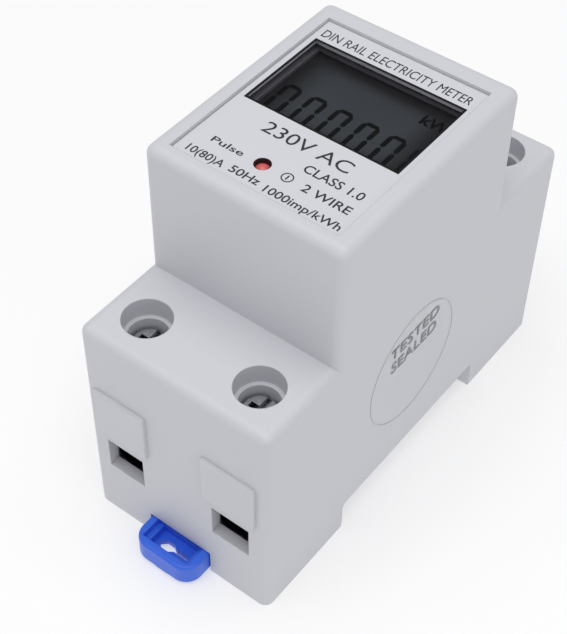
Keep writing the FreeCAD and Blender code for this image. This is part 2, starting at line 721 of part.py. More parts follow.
def make_bars():
    """Copper bars under the clamps; the line side is parted by the resistance strip."""
    span = (bar_low, bar_top)
    line = (-terminal_x - bar_width / 2, -terminal_x + bar_width / 2)
    neutral = (terminal_x - bar_width / 2, terminal_x + bar_width / 2)
    bars = (("line_in_busbar", line, (near_screw - bar_end, -shunt_length / 2)),
            ("line_out_busbar", line, (shunt_length / 2, far_screw + bar_end)),
            ("neutral_busbar", neutral, (near_screw - bar_end, far_screw + bar_end)))
    for label, across, along in bars:
        body = new_body(label)
        pad(body, "XY_Plane", span, [rectangle(across, along)])
        ends = [place for place in along if abs(place.value) > shunt_length.value]
        rounded(body, 1.0, lambda middle, edge, ends=ends:
                upright(edge) and any(near(middle.y, place) for place in ends))
    node("current_shunt", block("Shunt", line, (-shunt_length / 2, shunt_length / 2),
                                (bar_low + shunt_thin, bar_top - shunt_thin)))


def make_sense_leads():
    """Two wires from the ends of the resistance strip up to the main board."""
    leads = []
    for number, end in enumerate((-1, 1), 1):
        foot_y = end * (shunt_length / 2 + lead_inset)
        blob = rod("LeadSolder%d" % number, solder_radius, (-terminal_x, foot_y),
                   (bar_top, bar_top + 0.8))
        wire = rod("LeadWire%d" % number, lead_radius, (-terminal_x, foot_y),
                   (bar_top, main_top + 0.6))
        leads.append(fuse("Lead%d" % number, [blob, wire]))
    node("sense_leads", compound("Leads", leads))


# ---- rail base, clip and spring ------------------------------------------------------------

def make_base():
    """The back: a plate bent round the rail, with the fixed hook and the clip's tunnel."""
    body = new_body("rail_base")
    x_out = inner_x - fit_gap
    wall_out = half_rail + base_wall
    end_near, end_far = near_hall + fit_gap, far_hall - fit_gap
    outline = [(end_near, foot), (-half_rail, foot), (-half_rail, 0.0), (half_rail, 0.0),
               (half_rail, foot), (end_far, foot), (end_far, foot + base_wall),
               (wall_out, foot + base_wall), (wall_out, base_wall), (-wall_out, base_wall),
               (-wall_out, foot + base_wall), (end_near, foot + base_wall)]
    pad(body, "YZ_Plane", (-x_out, x_out), [outline])
    # feet that close the clamp chambers, and ribs that close the walls below the bars
    plug = chamber_x - fit_gap
    bar_slot = bar_width / 2 + bar_gap - fit_gap
    for side in (-1, 1):
        x = side * terminal_x
        across = (x - bar_slot, x + bar_slot)
        pad(body, "XY_Plane", (foot, bar_low - fit_gap),
            [rectangle(across, (near_hall - chamber_wall, near_hall + 0.5)),
             rectangle(across, (far_hall - 0.5, far_hall + chamber_wall))])
        pad(body, "XY_Plane", (foot, foot + base_wall),
            [rectangle((x - plug, x + plug), chamber_span(end, fit_gap)) for end in (-1, 1)])
        pad(body, "XY_Plane", (foot, foot + base_wall),
            [rectangle(across, (near_screw, near_hall - chamber_wall + 0.5)),
             rectangle(across, (far_hall + chamber_wall - 0.5, far_screw))])
    # tunnel of the rail clip, wide where its nose goes in and narrow where its shank runs
    tunnel = clip_width / 2 + clip_play
    pad(body, "XY_Plane", (foot, tongue_top),
        [rectangle((-tunnel - tunnel_wall, tunnel + tunnel_wall), (end_near, -half_rail))])
    pocket(body, "XZ_Plane", (-tunnel_back, -half_rail + 0.5),
           [rectangle((-tunnel, tunnel), (clip_under - clip_play, tunnel_roof))])
    pocket(body, "XZ_Plane", (end_near - 1.0, -tunnel_back + 0.5),
           [rectangle((-hall_x, hall_x), (clip_under - clip_play, tunnel_roof))])
    pocket(body, "XY_Plane", (foot - 1.0, tunnel_roof),
           [rectangle((-hall_x + 1.2, hall_x - 1.2), (end_near - 1.0, -half_rail + 0.5))])
    # roof tongue over the shank, with the post that the clip's spring bears on
    post = pocket_width / 2 - clip_play
    pad(body, "XY_Plane", (tunnel_roof, tongue_top),
        [rectangle((-hall_x + fit_gap, hall_x - fit_gap), (tongue_out, end_near + 0.5))])
    pad(body, "XY_Plane", (clip_under + 1.0, tunnel_roof + 0.5),
        [rectangle((-post, post), (post_near, post_near + post_length))])
    # plug of the far core, and its link through the wall
    pad(body, "XY_Plane", (foot, foot + base_wall),
        [rectangle((-hall_x + fit_gap, hall_x - fit_gap),
                   (far_hall + chamber_wall + fit_gap, inner_end - fit_gap))])
    pad(body, "XY_Plane", (foot, foot + base_wall),
        [rectangle((-link_width / 2 + fit_gap, link_width / 2 - fit_gap),
                   (far_hall - 0.5, far_hall + chamber_wall + 0.5))])
    # fixed hook on the far side of the recess
    hook = [(half_rail + 0.5, -hook_drop), (half_rail - hook_reach, -hook_drop),
            (half_rail - hook_reach, -hook_drop - hook_thick / 2),
            (half_rail - hook_reach + hook_thick / 2, -hook_drop - hook_thick),
            (half_rail + 0.5, -hook_drop - hook_thick)]
    pad(body, "YZ_Plane", (-hook_width / 2, hook_width / 2), [hook])
    # board pillars, bar supports and snap lugs
    pillars = [(side * pillar_x, end * pillar_y) for side, end in CORNERS]
    pad(body, "XY_Plane", (base_wall - 0.5, board_height),
        [("circle", centre, pillar_radius) for centre in pillars])
    pocket(body, "XY_Plane", (board_height - pilot_deep, board_height + 1.0),
           [("circle", centre, pilot_radius) for centre in pillars])
    for side in (-1, 1):
        pad(body, "XY_Plane", (base_wall - 0.5, bar_low),
            [rectangle((side * terminal_x - 1.0, side * terminal_x + 1.0),
                       (end * prop_y - prop_half, end * prop_y + prop_half)) for end in (-1, 1)])
    tabs = [end * (half_rail + lug_inset) for end in (-1, 1)]
    pad(body, "XY_Plane", (base_wall - 0.5, tab_high),
        [rectangle((low, low + tab_thick), (y - lug_inset, y + lug_inset))
         for low in (-x_out, x_out - tab_thick) for y in tabs])
    for low, high in ((-inner_x - lug_reach, -x_out + 0.5), (x_out - 0.5, inner_x + lug_reach)):
        pad(body, "YZ_Plane", (low, high), [lug_outline(y, 0.0) for y in (-1, 1)])


def make_clip():
    """The sliding clip: nose, shank with the spring's pocket, and the screwdriver loop."""
    body = new_body("din_clip")
    half = clip_width / 2
    tip = -half_length - clip_out
    side = [(tip, clip_under), (-clip_nose - clip_slope, clip_under),
            (-clip_nose, clip_under + clip_slope), (-clip_nose, clip_top), (tip, clip_top)]
    pad(body, "YZ_Plane", (-half, half), [side])
    for flank in (-1, 1):
        inner, outer = flank * shank_x, flank * (half + 1.0)
        pocket(body, "XY_Plane", (foot - 1.0, clip_top + 1.0),
               [rectangle((outer, inner) if flank < 0 else (inner, outer),
                          (-inner_end - 0.5, -nose_back))])
    rounded(body, loop_round, lambda middle, edge: upright(edge) and near(middle.y, tip))
    # the loop is a tray with a raised rim; the blade's slot, with an eye at one end, goes through
    pocket(body, "XY_Plane", (clip_top - rim_high, clip_top + 1.0),
           [rectangle((-half + loop_rim, half - loop_rim), (tip + loop_rim, -half_length + 0.6))])
    pocket(body, "XY_Plane", (clip_under + loop_web, clip_top),
           [rectangle((-loop_slot / 2, loop_slot / 2), (tip + loop_bar, -half_length + 0.4))])
    end_x, middle = blade_slot / 2, tip + loop_bar + (clip_out - loop_bar) / 2
    eye_far, eye_near = -end_x + blade_eye, -end_x + blade_eye * 2.6
    pocket(body, "XY_Plane", (clip_under - 1.0, clip_under + loop_web + 0.2),
           [[(-end_x, middle), (eye_far, middle - blade_eye), (eye_near, middle - blade_eye),
             (0.2, middle - blade_gap), (end_x, middle - blade_gap),
             (end_x, middle + blade_gap), (0.2, middle + blade_gap),
             (eye_near, middle + blade_eye), (eye_far, middle + blade_eye)]])
    pocket(body, "XY_Plane", (clip_under + clip_floor, clip_top + 1.0),
           [rectangle((-pocket_width / 2, pocket_width / 2), (post_near - post_gap, -pocket_far))])
    pad(body, "XY_Plane", (foot + 0.2, clip_under + 0.5),
        [rectangle((-grip_half, grip_half), (tip + 0.2, tip + 0.2 + grip_half))])
    rounded(body, 0.5, lambda middle, edge: near(middle.z, clip_top) and (
        near(abs(middle.x), half) and middle.y < -half_length.value + 2.0 or near(middle.y, tip)
        or middle.y < -half_length.value and abs(middle.x) > half.value - loop_round.value * 0.4))


def make_spring():
    """A compression spring between the stop post and the far end of the clip's pocket."""
    start = (post_near + post_length).value + spring_wire.value
    length = -pocket_far.value - spring_wire.value - start
    turns = 7.0
    radius, wire = spring_radius.value, spring_wire.value
    path = Part.makeHelix(length / turns, length, radius)
    profile = Part.Wire([Part.makeCircle(wire, Vector(radius, 0, 0), Vector(0, 1, 0))])
    coil = Part.Wire(path.Edges).makePipeShell([profile], True, True)
    middle = (clip_under.value + clip_floor.value + clip_top.value) / 2
    feature = doc.addObject("Part::Feature", "SpringCoil")
    feature.Shape = coil
    feature.Placement = FreeCAD.Placement(Vector(0, start, middle),
                                          FreeCAD.Rotation(Vector(1, 0, 0), -90))
    node("clip_spring", feature)


# ---- electronics ---------------------------------------------------------------------------

def make_main_board():
    near_edge, far_edge = near_hall + board_gap, far_hall - board_gap
    board = block("Board", (-inner_x + board_gap, inner_x - board_gap), (near_edge, far_edge),
                  (board_height, main_top))
    below, above = board_height - 1, main_top + 1
    holes = [rod("BoardHole%d" % i, board_bore, (side * pillar_x, end * pillar_y), (below, above))
             for i, (side, end) in enumerate(CORNERS)]
    leads = [rod("LeadHole%d" % i, lead_radius + 0.15,
                 (-terminal_x, end * (shunt_length / 2 + lead_inset)), (below, above))
             for i, end in enumerate((-1, 1))]
    pins = [rod("BoardPin%d" % i, pin_bore, header_pin(i), (below, above)) for i in range(HEADER_PINS)]
    node("main_board", cut("BoardBored", board, holes + leads + pins))


def make_board_screws():
    screws = []
    for number, (side, end) in enumerate(CORNERS, 1):
        centre = (side * pillar_x, end * pillar_y)
        head = rod("BoardScrewHead%d" % number, board_head, centre,
                   (main_top, main_top + board_head_high))
        shank = rod("BoardScrewShank%d" % number, pilot_radius, centre,
                    (board_height - 7.0, main_top + 0.5))
        slot = block("BoardScrewSlot%d" % number, (centre[0] - 1.5, centre[0] + 1.5),
                     (centre[1] - 0.3, centre[1] + 0.3), (main_top + 0.8, main_top + 2.0))
        whole = fuse("BoardScrew%d" % number, [head, shank])
        screws.append(cut("BoardScrewCut%d" % number, whole, [slot]))
    node("board_screws", compound("BoardScrews", screws))


def make_chip(label, centre, length, width, height, legs, pitch):
    """A flat chip with a row of bent legs along each long side."""
    x, y = centre
    body = block(label + "_case", (x - length / 2, x + length / 2), (y - width / 2, y + width / 2),
                 (main_top + 0.15, main_top + 0.15 + height))
    feet = []
    for index in range(legs):
        leg_x = x + (index - (legs - 1) / 2.0) * pitch
        for side in (-1, 1):
            inner, outer = y + side * (width / 2 - 0.2), y + side * (width / 2 + 1.0)
            low, high = (inner, outer) if side > 0 else (outer, inner)
            feet.append(block("%s_leg" % label, (leg_x - 0.2, leg_x + 0.2), (low, high),
                              (main_top, main_top + 0.35)))
    node(label, fuse(label + "_whole", [body] + feet))


def make_electronics():
    make_chip("metering_chip", (-4.4, 0.0), 10.3, 7.5, 2.3, 8, 1.27)
    make_chip("controller_chip", (8.2, -9.0), 12.8, 7.5, 2.3, 10, 1.27)
    make_chip("memory_chip", (-4.4, -9.5), 4.9, 3.9, 1.5, 4, 1.27)
    make_chip("pulse_coupler", (-12.6, 20.0), 4.6, 6.4, 3.4, 2, 2.54)
    # crystal in its metal can
    can = block("CrystalCan", (3.0, 3.0 + 10.0), (-2.4, 1.2), (main_top + 0.3, main_top + 3.6))
    rim = block("CrystalRim", (2.6, 13.4), (-2.8, 1.6), (main_top, main_top + 0.4))
    node("crystal", fuse("Crystal", [can, rim]))
    # film capacitor that drops the mains voltage
    film = block("FilmCase", (-1.5, 14.5), (5.0, 12.5), (main_top + 0.4, main_top + 13.0))
    feet = block("FilmFeet", (-1.0, 14.0), (5.6, 11.9), (main_top, main_top + 0.5))
    node("dropper_capacitor", fuse("FilmCapacitor", [film, feet]))
    # two round capacitors with their crimp grooves
    cans = []
    for number, (x, radius, tall) in enumerate(((-12.0, 3.2, 11.0), (11.8, 3.2, 11.0)), 1):
        whole = rod("CanBody%d" % number, radius, (x, -17.2), (main_top, main_top + tall))
        ring = rod("CanRing%d" % number, radius + 1, (x, -17.2), (main_top + 1.4, main_top + 2.0))
        core = rod("CanCore%d" % number, radius - 0.3, (x, -17.2), (main_top + 1.0, main_top + 2.4))
        groove = cut("CanGroove%d" % number, ring, [core])
        cans.append(cut("Can%d" % number, whole, [groove]))
    node("smoothing_capacitors", compound("Cans", cans))
    # surge varistor: an upright disc with its two leads
    disc = doc.addObject("Part::Cylinder", "VaristorDisc")
    disc.Radius, disc.Height = 5.0, 4.2
    disc.Placement = FreeCAD.Placement(Vector(-6.6, 7.0, 0), FreeCAD.Rotation(Vector(1, 0, 0), -90))
    bind(disc, "Placement.Base.z", main_top + 6.5)
    legs = [block("VaristorLeg%d" % i, (-6.6 + shift - 0.4, -6.6 + shift + 0.4), (8.7, 9.5),
                  (main_top, main_top + 4.0)) for i, shift in enumerate((-2.5, 2.5))]
    node("surge_varistor", fuse("Varistor", [disc] + legs))
    # dropper resistor lying on the board, with bent leads
    tube = doc.addObject("Part::Cylinder", "ResistorTube")
    tube.Radius, tube.Height = 2.0, 11.0
    tube.Placement = FreeCAD.Placement(Vector(-5.5, -14.8, 0), FreeCAD.Rotation(Vector(0, 1, 0), 90))
    bind(tube, "Placement.Base.z", main_top + 2.3)
    ends = [block("ResistorLead%d" % i, (x, x + 0.8), (-15.2, -14.4), (main_top, main_top + 2.7))
            for i, x in enumerate((-7.0, 6.2))]
    wires = [block("ResistorWire%d" % i, (x, x + 2.0), (-15.2, -14.4), (main_top + 1.9, main_top + 2.7))
             for i, x in enumerate((-7.0, 5.0))]
    node("dropper_resistor", fuse("Resistor", [tube] + ends + wires))


def make_header():
    """A row of pins in a moulded strip that joins the two boards."""
    first, last = header_pin(0), header_pin(HEADER_PINS - 1)
    strip = block("HeaderStrip", (first[0] - header_side, last[0] + header_side),
                  (first[1] - header_side, first[1] + header_side), (main_top, main_top + 2.5))
    pins = [block("HeaderPin%d" % i, (header_pin(i)[0] - pin_side, header_pin(i)[0] + pin_side),
                  (first[1] - pin_side, first[1] + pin_side),
                  (board_height - pin_over, strip_under + pin_over))
            for i in range(HEADER_PINS)]
    node("board_header", fuse("Header", [strip] + pins))


def make_sticker():
    disc = doc.addObject("Part::Cylinder", "StickerDisc")
    bind(disc, "Radius", sticker_radius)
    bind(disc, "Height", sticker_thick)
    disc.Placement = FreeCAD.Placement(Vector(0, 0, 0), FreeCAD.Rotation(Vector(0, 1, 0), 90))
    for axis, place in zip("xyz", (half_width, sticker_y, sticker_z)):
        disc.setExpression("Placement.Base." + axis, place.text)
    node("inspection_sticker", disc)


# ---- assembly ------------------------------------------------------------------------------

case = make_case()
NODES.remove(case)
case.Label = "case_shell"
node("main_case", fuse("CaseWithPosts", [case] + make_posts()))
make_base()
make_front_panel()
make_window()
make_bezel()
make_display_glass()
make_contact_strips()
make_display_board()
make_display_screws()
make_pulse_light()
for terminal, (terminal_side, terminal_end) in enumerate(CORNERS, 1):
    make_cage(terminal, terminal_side, terminal_end)
    make_screw(terminal, terminal_side, terminal_end)
make_bars()
make_sense_leads()
make_clip()
make_spring()
make_main_board()
make_board_screws()
make_electronics()
make_header()
make_sticker()
doc.recompute()

faults = []
for item in doc.Objects:
    if "Invalid" in item.State or "Error" in item.State:
        faults.append("%s: %s" % (item.Name, item.State))
for item in NODES:
    if item.Shape.isNull() or not item.Shape.isValid() or not item.Shape.Solids:
        faults.append("%s: no valid shape" % item.Label)
if faults:
    raise RuntimeError("the model did not rebuild: " + "; ".join(faults))

os.makedirs("parts", exist_ok=True)
for item in NODES:
    item.Shape.exportStep(os.path.join("parts", item.Label + ".step"))
    print("%-24s solids %d  volume %9.1f" % (item.Label, len(item.Shape.Solids), item.Shape.Volume))
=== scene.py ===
import math

import bpy
from bpy.props import FloatProperty, FloatVectorProperty, PointerProperty, StringProperty
from bpy.types import Operator, Panel, PropertyGroup
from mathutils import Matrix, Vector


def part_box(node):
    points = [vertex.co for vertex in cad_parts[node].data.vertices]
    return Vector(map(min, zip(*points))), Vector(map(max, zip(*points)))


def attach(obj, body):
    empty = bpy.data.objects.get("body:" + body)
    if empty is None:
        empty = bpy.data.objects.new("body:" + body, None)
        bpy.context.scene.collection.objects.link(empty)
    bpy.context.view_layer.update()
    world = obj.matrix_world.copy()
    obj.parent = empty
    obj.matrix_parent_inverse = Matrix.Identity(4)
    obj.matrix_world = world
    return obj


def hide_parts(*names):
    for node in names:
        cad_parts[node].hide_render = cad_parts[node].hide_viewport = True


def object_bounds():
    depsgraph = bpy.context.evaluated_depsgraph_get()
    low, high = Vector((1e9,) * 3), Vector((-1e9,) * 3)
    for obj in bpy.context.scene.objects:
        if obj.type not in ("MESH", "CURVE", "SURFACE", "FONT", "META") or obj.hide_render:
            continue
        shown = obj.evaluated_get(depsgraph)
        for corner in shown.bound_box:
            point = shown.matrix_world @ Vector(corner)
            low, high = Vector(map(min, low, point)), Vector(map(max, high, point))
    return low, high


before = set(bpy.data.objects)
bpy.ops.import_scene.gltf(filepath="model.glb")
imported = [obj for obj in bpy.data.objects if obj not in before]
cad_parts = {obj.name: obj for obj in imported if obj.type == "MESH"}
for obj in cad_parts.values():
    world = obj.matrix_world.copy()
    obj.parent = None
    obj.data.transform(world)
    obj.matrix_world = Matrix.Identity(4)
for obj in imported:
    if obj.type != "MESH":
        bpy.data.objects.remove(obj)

bl_info = {
    "name": "Rail Electricity Meter",
    "version": (1, 0, 0),
    "blender": (4, 5, 0),
    "location": "3D View > Sidebar > Meter",
    "description": "Finishes, printed label and display of a two-module rail electricity meter",
    "category": "Object",
}

MM = 0.001
CAD_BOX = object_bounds()
PANEL_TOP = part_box("front_panel")[1].z
WINDOW_LOW, WINDOW_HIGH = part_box("display_window")
GLASS_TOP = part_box("lcd_glass")[1].z
SIDE_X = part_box("inspection_sticker")[1].x

INK_THICK = 0.02 * MM       # a printed layer, as thick as it needs to lie clear of its ground
FLANGE = 0.7 * MM           # the window's flange, hidden under the panel
BORDER_WIDTH = 0.42 * MM    # the black print round the window
LIP_EDGE = 13.95 * MM       # edge of what the window lets through, from the middle

# A black ring of painted shade, standing in for the shadow down the pulse light's hole:
HOLE_SHADE_RADIUS = 1.34 * MM    # the pulse light's hole, less a hair
HOLE_SHADE_WALL = 0.08 * MM
HOLE_SHADE_SUNK = 0.06 * MM      # the painted shade ring ends this far below the plate's face

MARK_PLACE = (2.1 * MM, -15.0 * MM)     # the small circled mark beside the light
MARK_RADIUS = 0.98 * MM
MARK_LINE = 0.2 * MM
MARK_STROKE = (1.1 * MM, 0.24 * MM)     # length and width of the bar inside it

DIGITS = 6
DIGIT_WIDTH = 3.15 * MM
SEGMENT_WIDTH = 0.8 * MM
SEGMENT_GAP = 0.12 * MM     # between the ends of two upright segments
READING_LEFT = -12.4 * MM
READING_TOP = 4.3 * MM
UNIT_SPAN = (8.4 * MM, 14.4 * MM)       # left and right edge of the display's unit
UNIT_BASE = 8.8 * MM
UNIT_HEIGHT = 2.2 * MM

GLUE = 0.03 * MM            # the sticker's adhesive, which keeps its film clear of the case
RIM = 0.09 * MM             # the painted highlight round the sticker's cut edge
STICKER_LETTERS = 2.3 * MM  # height of the capitals on the sticker

NOISE_LOW, NOISE_HIGH = 0.3, 0.7        # nearly all of a noise texture's values lie between


# ---- colours and nodes ---------------------------------------------------------------------

def linear(code):
    """Linear colour of an sRGB hex value."""
    parts = [int(code[i:i + 2], 16) / 255 for i in (1, 3, 5)]
    return [c / 12.92 if c <= 0.04045 else ((c + 0.055) / 1.055) ** 2.4 for c in parts] + [1.0]


def shade(colour, factor):
    """The same colour, lighter or darker."""
    return [min(1.0, c * factor) for c in colour[:3]] + [1.0]


def add(tree, kind, inputs=None, **settings):
    """Adds a node, sets it and links what feeds it; returns the node."""
    node = tree.nodes.new(kind)
    for name, value in settings.items():
        setattr(node, name, value)
    for key, value in (inputs or {}).items():
        if isinstance(value, bpy.types.NodeSocket):
            tree.links.new(value, node.inputs[key])
        else:
            node.inputs[key].default_value = value
    return node


def new_material(name):
    """An empty node material and its tree."""
    material = bpy.data.materials.new(name)
    material.use_nodes = True
    material.node_tree.nodes.clear()
    return material, material.node_tree


def close(tree, shader):
    """Ends a tree in its surface output."""
    add(tree, "ShaderNodeOutputMaterial", {"Surface": shader.outputs[0]})


def moulded(name, colour, rough, grain, depth, ior=1.58, cloud=0.02, edge=0.0, glow=0.0,
            shine=0.5):
    """Moulded plastic: even colour with faint flow clouding, and the tool's eroded grain.

    Grain is the grain's size, depth its relief and edge the softness of the corners, all in mm.
    """
    material, tree = new_material(name)
    flow_size = 14 * MM
    gloss_spread = 0.05
    where = add(tree, "ShaderNodeTexCoord").outputs["Object"]
    pits = add(tree, "ShaderNodeTexNoise",
               {"Vector": where, "Scale": 1 / (grain * MM), "Detail": 3.0, "Roughness": 0.6})
    flow = add(tree, "ShaderNodeTexNoise", {"Vector": where, "Scale": 1 / flow_size, "Detail": 2.0})
    tone = add(tree, "ShaderNodeMix",
               {0: flow.outputs["Fac"], 6: shade(colour, 1 - cloud), 7: shade(colour, 1 + cloud)},
               data_type="RGBA")
    gloss = add(tree, "ShaderNodeMapRange",
                {"Value": pits.outputs["Fac"], "From Min": NOISE_LOW, "From Max": NOISE_HIGH,
                 "To Min": rough - gloss_spread, "To Max": rough + gloss_spread})
    relief = {"Height": pits.outputs["Fac"], "Strength": 1.0, "Distance": depth * MM}
    if edge:
        soft = add(tree, "ShaderNodeBevel", {"Radius": edge * MM}, samples=4)
        relief["Normal"] = soft.outputs["Normal"]
    bump = add(tree, "ShaderNodeBump", relief)
    close(tree, add(tree, "ShaderNodeBsdfPrincipled",
                    {"Base Color": tone.outputs[2], "Roughness": gloss.outputs["Result"],
                     "IOR": ior, "Specular IOR Level": shine, "Emission Strength": glow,
                     "Emission Color": (1.0, 1.0, 1.0, 1.0), "Normal": bump.outputs["Normal"]}))
    return material


def metal(name, colour, rough, grain, depth, stretch=(1, 1, 1), tarnish=0.08, painted_shade=0.0):
    """Plated or bare metal: fine drawn or rolled marks, uneven tarnish, and painted shade darkening
    its slots and hollows.

    Grain is the marks' size and depth their relief; the last argument is the reach of the painted
    shade in slots and hollows, all in mm.
    """
    material, tree = new_material(name)
    cloud_size = 2.5 * MM
    painted_shade_colour = linear("#141416")
    full_shade_at, no_shade_at = 0.35, 0.85          # how open a hollow is where the painted shade is full and where it ends
    where = add(tree, "ShaderNodeTexCoord").outputs["Object"]
    drawn = add(tree, "ShaderNodeMapping", {"Vector": where, "Scale": stretch})
    marks = add(tree, "ShaderNodeTexNoise",
                {"Vector": drawn.outputs["Vector"], "Scale": 1 / (grain * MM), "Detail": 4.0})
    cloud = add(tree, "ShaderNodeTexNoise",
                {"Vector": where, "Scale": 1 / cloud_size, "Detail": 3.0})
    tone = add(tree, "ShaderNodeMix",
               {0: cloud.outputs["Fac"], 6: shade(colour, 1 - tarnish), 7: shade(colour, 1 + tarnish)},
               data_type="RGBA")
    # Painted shade: ambient occlusion darkens the colour where slots and hollows lie in shade.
    if painted_shade:
        hollow = add(tree, "ShaderNodeAmbientOcclusion", {"Distance": painted_shade * MM}, samples=8)
        open_to = add(tree, "ShaderNodeMapRange",
                      {"Value": hollow.outputs["AO"], "From Min": full_shade_at, "From Max": no_shade_at},
                      interpolation_type="SMOOTHSTEP")
        tone = add(tree, "ShaderNodeMix",
                   {0: open_to.outputs["Result"], 6: painted_shade_colour, 7: tone.outputs[2]},
                   data_type="RGBA")
    gloss = add(tree, "ShaderNodeMapRange",
                {"Value": marks.outputs["Fac"], "From Min": NOISE_LOW, "From Max": NOISE_HIGH,
                 "To Min": rough * 0.7, "To Max": rough * 1.3})
    bump = add(tree, "ShaderNodeBump",
               {"Height": marks.outputs["Fac"], "Strength": 1.0, "Distance": depth * MM})
    close(tree, add(tree, "ShaderNodeBsdfPrincipled",
                    {"Base Color": tone.outputs[2], "Roughness": gloss.outputs["Result"],
                     "Metallic": 1.0, "Normal": bump.outputs["Normal"]}))
    return material


def laminate(name, mask, copper):
    """Glass-epoxy board under green solder mask; copper tracks show through it as paler runs."""
    material, tree = new_material(name)
    cell = 2.2 * MM
    runs_per_cell = 9.0
    bare_share = 0.62                   # of a run's width that is left without copper
    mask_step = 0.035 * MM
    where = add(tree, "ShaderNodeTexCoord").outputs["Object"]
    tracks = add(tree, "ShaderNodeTexVoronoi", {"Vector": where, "Scale": 1 / cell},
                 distance="MANHATTAN", feature="F1")
    runs = add(tree, "ShaderNodeMath", {0: tracks.outputs["Distance"], 1: runs_per_cell},
               operation="MULTIPLY")
    step = add(tree, "ShaderNodeMath", {0: runs.outputs[0], 1: 1.0}, operation="PINGPONG")
    over = add(tree, "ShaderNodeMath", {0: step.outputs[0], 1: bare_share},
               operation="GREATER_THAN")
    tone = add(tree, "ShaderNodeMix", {0: over.outputs[0], 6: mask, 7: copper}, data_type="RGBA")
    bump = add(tree, "ShaderNodeBump",
               {"Height": over.outputs[0], "Strength": 0.6, "Distance": mask_step})
    close(tree, add(tree, "ShaderNodeBsdfPrincipled",
                    {"Base Color": tone.outputs[2], "Roughness": 0.32, "IOR": 1.55,
                     "Normal": bump.outputs["Normal"]}))
    return material


def chip_epoxy(name, black, tin, legs_top):
    """Black glass-filled epoxy chip body with a blasted skin; the legs below its body are tinned."""
    material, tree = new_material(name)
    pit_size, pit_deep = 0.15 * MM, 0.02 * MM
    body_rough, tin_rough = 0.55, 0.25
    where = add(tree, "ShaderNodeTexCoord").outputs["Object"]
    height = add(tree, "ShaderNodeSeparateXYZ", {"Vector": where})
    legs = add(tree, "ShaderNodeMath", {0: height.outputs["Z"], 1: legs_top}, operation="LESS_THAN")
    pits = add(tree, "ShaderNodeTexNoise", {"Vector": where, "Scale": 1 / pit_size, "Detail": 2.0})
    tone = add(tree, "ShaderNodeMix", {0: legs.outputs[0], 6: black, 7: tin}, data_type="RGBA")
    gloss = add(tree, "ShaderNodeMapRange",
                {"Value": legs.outputs[0], "To Min": body_rough, "To Max": tin_rough})
    bump = add(tree, "ShaderNodeBump",
               {"Height": pits.outputs["Fac"], "Strength": 0.6, "Distance": pit_deep})
    close(tree, add(tree, "ShaderNodeBsdfPrincipled",
                    {"Base Color": tone.outputs[2], "Roughness": gloss.outputs["Result"],
                     "Metallic": legs.outputs[0], "Normal": bump.outputs["Normal"]}))
    return material


def display_glass(name, lit, dim, centre, half):
    """Twisted-nematic display on its rear polariser: dark grey-green, with painted shade darkening it
    towards the frame.
    """
    material, tree = new_material(name)
    fade_from, fade_to = 0.5, 0.9       # as shares of the way from the middle to the edge
    corner_softness = 0.3
    haze_size, haze_share = 6 * MM, 0.25
    where = add(tree, "ShaderNodeTexCoord").outputs["Object"]
    placed = add(tree, "ShaderNodeMapping",
                 {"Vector": where, "Location": [-c / h for c, h in zip(centre, half)],
                  "Scale": [1 / h for h in half]})
    away = add(tree, "ShaderNodeSeparateXYZ", {"Vector": placed.outputs["Vector"]})
    across = add(tree, "ShaderNodeMath", {0: away.outputs["X"]}, operation="ABSOLUTE")
    along = add(tree, "ShaderNodeMath", {0: away.outputs["Y"]}, operation="ABSOLUTE")
    rim = add(tree, "ShaderNodeMath",
              {0: across.outputs[0], 1: along.outputs[0], 2: corner_softness},
              operation="SMOOTH_MAX")
    fade = add(tree, "ShaderNodeMapRange",
               {"Value": rim.outputs[0], "From Min": fade_from, "From Max": fade_to},
               interpolation_type="SMOOTHSTEP")
    haze = add(tree, "ShaderNodeTexNoise", {"Vector": where, "Scale": 1 / haze_size, "Detail": 2.0})
    mottled = add(tree, "ShaderNodeMath",
                  {0: haze.outputs["Fac"], 1: haze_share, 2: fade.outputs["Result"]},
                  operation="MULTIPLY_ADD")
    tone = add(tree, "ShaderNodeMix", {0: mottled.outputs[0], 6: lit, 7: dim}, data_type="RGBA")
    close(tree, add(tree, "ShaderNodeBsdfPrincipled",
                    {"Base Color": tone.outputs[2], "Roughness": 0.5, "IOR": 1.5,
                     "Specular IOR Level": 0.1}))
    return material


def clear_plastic(name, tint, rough, ior, scratch, alpha):
    """Clear moulded plastic, with faint hairline scuffs that show only in its gloss.

    Scratch is the size of the scuffs in mm.
    """
    material, tree = new_material(name)
    wiped_at = 0.6                      # radians across the window
    scuff_from, scuff_to = 0.45, 0.75
    scuff_dulling = 0.06
    where = add(tree, "ShaderNodeTexCoord").outputs["Object"]
    drawn = add(tree, "ShaderNodeMapping",
                {"Vector": where, "Rotation": (0, 0, wiped_at), "Scale": (1, 9, 1)})
    scuffs = add(tree, "ShaderNodeTexNoise",
                 {"Vector": drawn.outputs["Vector"], "Scale": 1 / (scratch * MM), "Detail": 4.0})
    gloss = add(tree, "ShaderNodeMapRange",
                {"Value": scuffs.outputs["Fac"], "From Min": scuff_from, "From Max": scuff_to,
                 "To Min": rough, "To Max": rough + scuff_dulling})
    close(tree, add(tree, "ShaderNodeBsdfPrincipled",
                    {"Base Color": tint, "Roughness": gloss.outputs["Result"], "IOR": ior,
                     "Alpha": alpha}))
    return material


